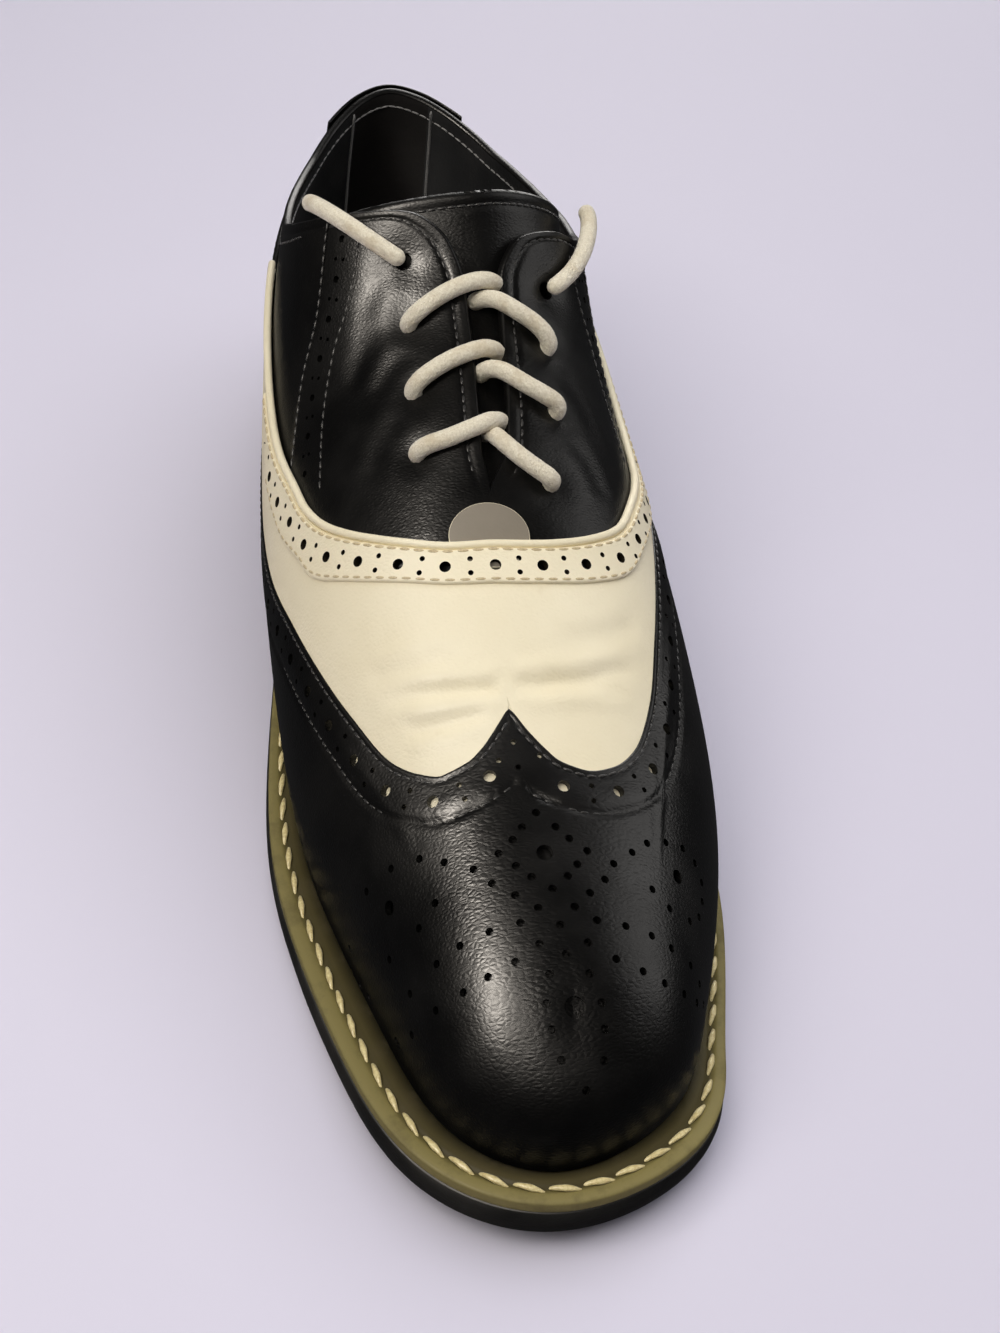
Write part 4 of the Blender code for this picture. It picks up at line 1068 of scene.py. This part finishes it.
# Throat: cream vamp, brogued band over it, piping bead and half-moon tab
vamp = {
    "lift": 0.5, "thick": 1.2, "edge": 0.6, "round": 0.5, "under": 8.5, "sunk": 0.58, "sinks": (0.5, 2.2),
    "underSinks": 0.42, "columns": 200, "rows": 120, "lowShare": 0.835, "margin": 0.012, "creaseFree": 0.045,
    "creases": (
        {"line": ((5.485, -0.36), (5.66, -0.234), (5.845, -0.102), (5.935, -0.008), (5.75, 0.09),
                  (5.595, 0.17), (5.3, 0.31)), "deep": 0.95, "half": 1.9},
        {"line": ((5.815, -0.3), (5.965, -0.17), (6.035, -0.044)), "deep": 0.65, "half": 1.8},
        {"line": ((5.945, 0.032), (5.745, 0.122), (5.47, 0.29)), "deep": 0.65, "half": 1.8},
        {"line": ((5.3, -0.38), (5.48, -0.24), (5.62, -0.1)), "deep": 0.45, "half": 2.4},
        {"line": ((5.45, 0.12), (5.25, 0.22), (5.0, 0.33)), "deep": 0.35, "half": 2.4},
    ),
}
vampShare = bothSides(np.linspace(0, vamp["lowShare"], vamp["columns"] // 2))
vampStart = throatStation(vampShare) - vamp["margin"]
vampReach, vampEndReach = edgeReach(throatEdge, vampShare), edgeReach(wingEdge, vampShare)
vampEnd = wingStation(vampShare) + vamp["under"] / vampEndReach
vampRun = np.linspace(0, 1, vamp["rows"])[:, None]
vampStations = vampStart + vampRun * (vampEnd - vampStart)
vampShares = np.broadcast_to(vampShare, vampStations.shape)
vampAway = (vampStations - vampStart) * vampReach
vampCreases = troughs(vampStations, vampShares, vamp["creases"])
vampTop = panelTop(vamp, vampAway) + vampCreases * softStep(np.abs(vampShares), 0.0, vamp["creaseFree"])
vampPast = (vampStations - wingStation(vampShare)) * vampEndReach
vampBeyond = softStep(vampPast, *vamp["sinks"])  # sinks under the wing
vampTop = vampTop + (vamp["sunk"] - vampTop) * vampBeyond
vampLow = vamp["lift"] - vamp["underSinks"] * vampBeyond
vampShape = closedSheet(*(onLast(vampStations, vampShares, lift) for lift in (vampTop, vampLow)))
vampPiece = addPiece("vamp_leather", vampShape, leathers["creamCalf"], ["vamp"])

band = {
    "width": (
        (0.0, 0.205, 0.205), (0.12, 0.2, 0.195), (0.22, 0.205, 0.2), (0.33, 0.23, 0.21), (0.42, 0.28, 0.205),
        (0.49, 0.38, 0.23), (0.54, 0.49, 0.25), (0.6, 0.57, 0.27), (0.7, 0.57, 0.28),
    ),
    "end": 0.64, "lift": 1.75, "thick": 0.95, "edge": 0.35, "round": 0.5, "under": 0.5,
    "rows": 26, "columns": 321,
    "pitch": 4.95, "big": 1.25, "small": 0.6, "apart": 1.6, "middle": -3.9, "cut": (0.2, 5.0),
    "seamIn": 0.75, "footSeam": 0.3, "seat": 0.1,
    "stitch": {"pitch": 3.0, "length": 2.5, "width": 0.75, "thick": 0.6, "height": 0.16, "sink": 0.14},
}
bandShare = np.linspace(-band["end"], band["end"], band["columns"])
bandStart = throatStation(bandShare) + vamp["margin"]
bandWidth = edgeCurve(band["width"], np.abs(bandShare), bandShare)
bandRun = (0.5 - 0.5 * np.cos(np.linspace(0, np.pi, band["rows"])))[:, None]
bandStations = bandStart + bandRun * bandWidth
bandReach = edgeReach(throatEdge, bandShare)
bandShares = np.broadcast_to(bandShare, bandStations.shape)
bandAway = np.minimum(bandRun, 1 - bandRun) * bandWidth * bandReach
bandLifts = panelTop(band, bandAway), band["lift"] - band["under"]
bandForm = closedSheet(*(onLast(bandStations, bandShares, lift) for lift in bandLifts))
bandPiece = addPiece("throat_band_leather", bandForm, leathers["creamCalf"], ["throat_band"])
bandHoles = brogueRow(bandStart + 0.5 * bandWidth, bandShare, band, band["middle"])
# the walls of these holes are painted near black as shade inside the holes
for punched in (bandPiece, vampPiece):
    punch(punched, *bandHoles, *band["cut"], leathers["paintedShadeHoleWall"])
bandEdges = bandStart + band["footSeam"] / bandReach, bandStart + bandWidth - band["seamIn"] / bandReach
for bandSeam in bandEdges:
    stitchRow("tan", bandSeam, bandShare, band["lift"] + band["thick"] - band["seat"], band["stitch"])

piping = {**plainCord, "radius": 0.95, "sides": 16, "step": 0.6, "end": 0.695, "tuck": 0.013, "steep": 0.63}
pipeSteep = np.linspace(piping["steep"], piping["end"], 60)[1:]
pipeShare = bothSides(np.concatenate([np.linspace(0, piping["steep"], 120), pipeSteep]))
pipeStation = throatStation(pipeShare) - 2 * vamp["margin"]
pipeRoute = onLast(pipeStation, pipeShare * (1 - piping["tuck"]), vamp["lift"] + piping["radius"])
addPiece("piping_bead", cordShape(pipeRoute, piping)[0], leathers["creamCalf"], ["piping"])

tab = {
    "centre": (5.0, -0.004), "wide": 8.7, "high": 7.6, "lift": 0.5, "thick": 0.9, "edge": 0.6, "round": 0.4,
}
tabTurn = np.linspace(0, 2 * np.pi, 97)[:-1]
tabRing = np.concatenate([np.linspace(0.03, 0.9, 12), np.linspace(0.92, 1, 7)])[:, None]
tabAhead, tabUp = (unit(slope) for slope in slopes(*np.array(tab["centre"])))
tabSide = unit(tabUp - tabAhead * (tabUp @ tabAhead))
tabOval = tab["wide"] * np.cos(tabTurn)[:, None] * tabSide - tab["high"] * np.sin(tabTurn)[:, None] * tabAhead
tabSpots = onLast(*tab["centre"]) + tabRing[..., None] * tabOval
tabStations, tabShares = (np.full(tabSpots.shape[:2], value) for value in tab["centre"])
for _ in range(3):  # a flat disc laid over the instep
    tabStations, tabShares = slide(tabStations, tabShares, tabSpots - onLast(tabStations, tabShares))
tabAway = (1 - tabRing) * tab["high"]
tabLevels = np.stack([onLast(tabStations, tabShares, lift) for lift in (panelTop(tab, tabAway), tab["lift"])])
tabOver, tabUnder = numbered(tabLevels)
tabSkin = np.concatenate([tabOver, tabUnder[::-1]])  # over the top, round the rim and back underneath
tabFaces = gridQuads(tabSkin, closedColumns=True).tolist() + [tabSkin[0].tolist(), tabSkin[-1].tolist()[::-1]]
tabShape = (tabLevels, tabFaces)
throatTab = addPiece("throat_tab_leather", tabShape, leathers["greyTab"], ["throat_tab"])
throatTab.data.materials.append(leathers["creamCalf"])  # cream on the rounded rim is a painted highlight where the edge catches light
highlightRimFaces = np.repeat(np.abs(np.arange(len(tabSkin) - 1) - len(tabRing) + 1) < 3, len(tabTurn))
throatTab.data.polygons.foreach_set("material_index", np.append(highlightRimFaces, [False, False]).astype(np.int32))
print("throat made")

# Heel: counter and a small tab under the topline; places are stations, negative on the medial side
counter = {
    "reach": 1.845, "bowBack": 0.66, "bowEnds": 0.715, "seams": (0.012, 0.026), "seamStops": 0.04,
    "points": (161, 70), "lift": 0.5, "thick": 1.4, "edge": 0.45, "round": 0.6, "seat": 0.05,
}
heelTab = {
    "reach": 0.6, "bowBack": 0.66, "bowEnds": 0.652, "seams": (-0.012,), "seamStops": 0.03, "overTop": 0.004,
    "points": (101, 40), "lift": 0.5, "thick": 0.9, "edge": 0.45, "round": 0.5, "seat": 0.05,
}
heelScale = {"share": 130, "station": 40}  # mm


def bowedEdge(look, place):  # from its height at the back to that of its ends by the square of the place
    return look["bowBack"] + (look["bowEnds"] - look["bowBack"]) * (place / look["reach"]) ** 2


def heelPlaces(look):  # even steps from the medial end round the back to the lateral end
    return np.linspace(-look["reach"], look["reach"], look["points"][0])


def heelSheet(name, look, low, top, node):  # panel round the heel between a low and a top edge
    places = heelPlaces(look)
    climb = (0.5 - 0.5 * np.cos(np.linspace(0, np.pi, 40)))[:, None]
    shares = low - climb * (low - top)
    side = np.where(places >= 0, -1.0, 1.0)[None, :]
    stations = np.broadcast_to(np.abs(places), shares.shape)
    fromEdges = np.minimum(shares - top, low - shares) * heelScale["share"]
    fromEnd = (look["reach"] - np.abs(places)) * heelScale["station"]
    topLift = panelTop(look, np.minimum(fromEdges, fromEnd[None, :]))
    skins = [onLast(stations, side * shares, lift)[::-1] for lift in (topLift, look["lift"])]
    addPiece(name, closedSheet(*skins), leathers["blackCalf"], [node])


counterPlaces, tabPlaces = heelPlaces(counter), heelPlaces(heelTab)
counterLow = np.full(len(counterPlaces), last["lowShare"])
heelSheet("heel_counter_leather", counter, counterLow, bowedEdge(counter, counterPlaces), "heel_counter")
tabTopEdge = tableCurve(collarEdge, 1, np.abs(tabPlaces)) - heelTab["overTop"]
heelSheet("heel_tab_leather", heelTab, bowedEdge(heelTab, tabPlaces), tabTopEdge, "heel_tab")
for side in (-1, 1):
    for look in (counter, heelTab):
        run = np.linspace(0.0, look["reach"] - look["seamStops"], look["points"][1])
        for inset in look["seams"]:
            seamShare = side * (bowedEdge(look, run) + inset)
            stitchRow("black", run, seamShare, look["lift"] + look["thick"] - look["seat"])

addPiece("black_stitches", joined(seams["black"]), threads["black"])
addPiece("cream_stitches", joined(seams["tan"]), threads["tan"])
addPiece("lining_stitches", joined(seams["grey"]), threads["grey"])
print("heel and seams made")

# Floor and light: two soft sources light the scene, four others only show in the gloss of the leather
studio = {
    "floor": (0.68, 0.655, 0.765), "floorHalf": 3.0, "patchy": 0.985, "aim": (0, -0.03, 0.05),
    "sky": (0.80, 0.79, 0.84), "skyPower": 0.045,
}
lampColours = {
    "sun": (1.0, 0.96, 0.9), "cool": (0.98, 0.97, 1.0), "warm": (1.0, 0.92, 0.82), "white": (1.0, 0.97, 0.94),
}
lamps = {  # lights: it lights the scene and isn't mirrored, or else it is only mirrored
    "key": {"place": (-0.5, -0.35, 0.95), "size": 0.7, "power": 7.4, "colour": "sun", "lights": True},
    "fill": {"place": (0.45, 0.2, 1.6), "size": 2.0, "power": 23.0, "colour": "cool", "lights": True},
    "gloss": {"place": (-0.6, -0.28, 0.68), "size": 0.26, "power": 18.0, "colour": "warm", "lights": False},
    "front": {"place": (-0.2, -0.52, 0.72), "size": 0.16, "power": 2.0, "colour": "warm", "lights": False},
    "side": {"place": (0.9, 0.0, 0.55), "size": 0.7, "power": 3.5, "colour": "white", "lights": False},
    "back": {"place": (0.3, 1.0, 0.5), "size": 0.7, "power": 12.0, "colour": "white", "lights": False},
}
half = studio["floorHalf"]
floorPoints = [(-half, -half, 0), (half, -half, 0), (half, half, 0), (-half, half, 0)]
floorMesh = bpy.data.meshes.new("floor")
floorMesh.from_pydata(floorPoints, [], [(0, 1, 2, 3)])
floor = bpy.data.objects.new("floor", floorMesh)
bpy.context.scene.collection.objects.link(floor)
floorMaterial, floorTree, floorShader = startMaterial("floorPaint", Roughness=0.75, Specular_IOR_Level=0.2)
floorTone = spread(floorTree, noise(floorTree, objectPlace(floorTree), 3.0, 2.0), 0, 1)
floorShade = tuple(studio["patchy"] * value for value in studio["floor"])
floorColour = blendColours(floorTree, floorTone, studio["floor"], floorShade)
floorTree.links.new(floorColour, floorShader.inputs["Base Color"])
floorMesh.materials.append(floorMaterial)
floor.visible_glossy = False
for name, look in lamps.items():
    lamp = bpy.data.lights.new(name, "AREA")
    lamp.size, lamp.energy, lamp.color = look["size"], look["power"], lampColours[look["colour"]]
    light = bpy.data.objects.new(name, lamp)
    light.location = look["place"]
    light.rotation_euler = (Vector(studio["aim"]) - Vector(look["place"])).to_track_quat("-Z", "Y").to_euler()
    light.visible_diffuse, light.visible_glossy = look["lights"], not look["lights"]
    bpy.context.scene.collection.objects.link(light)
world = bpy.data.worlds.new("studio")
world.use_nodes = True
world.node_tree.nodes["Background"].inputs["Color"].default_value = (*studio["sky"], 1)
world.node_tree.nodes["Background"].inputs["Strength"].default_value = studio["skyPower"]
bpy.context.scene.world = world
bpy.context.scene.view_settings.view_transform = "Standard"
print("studio lit")
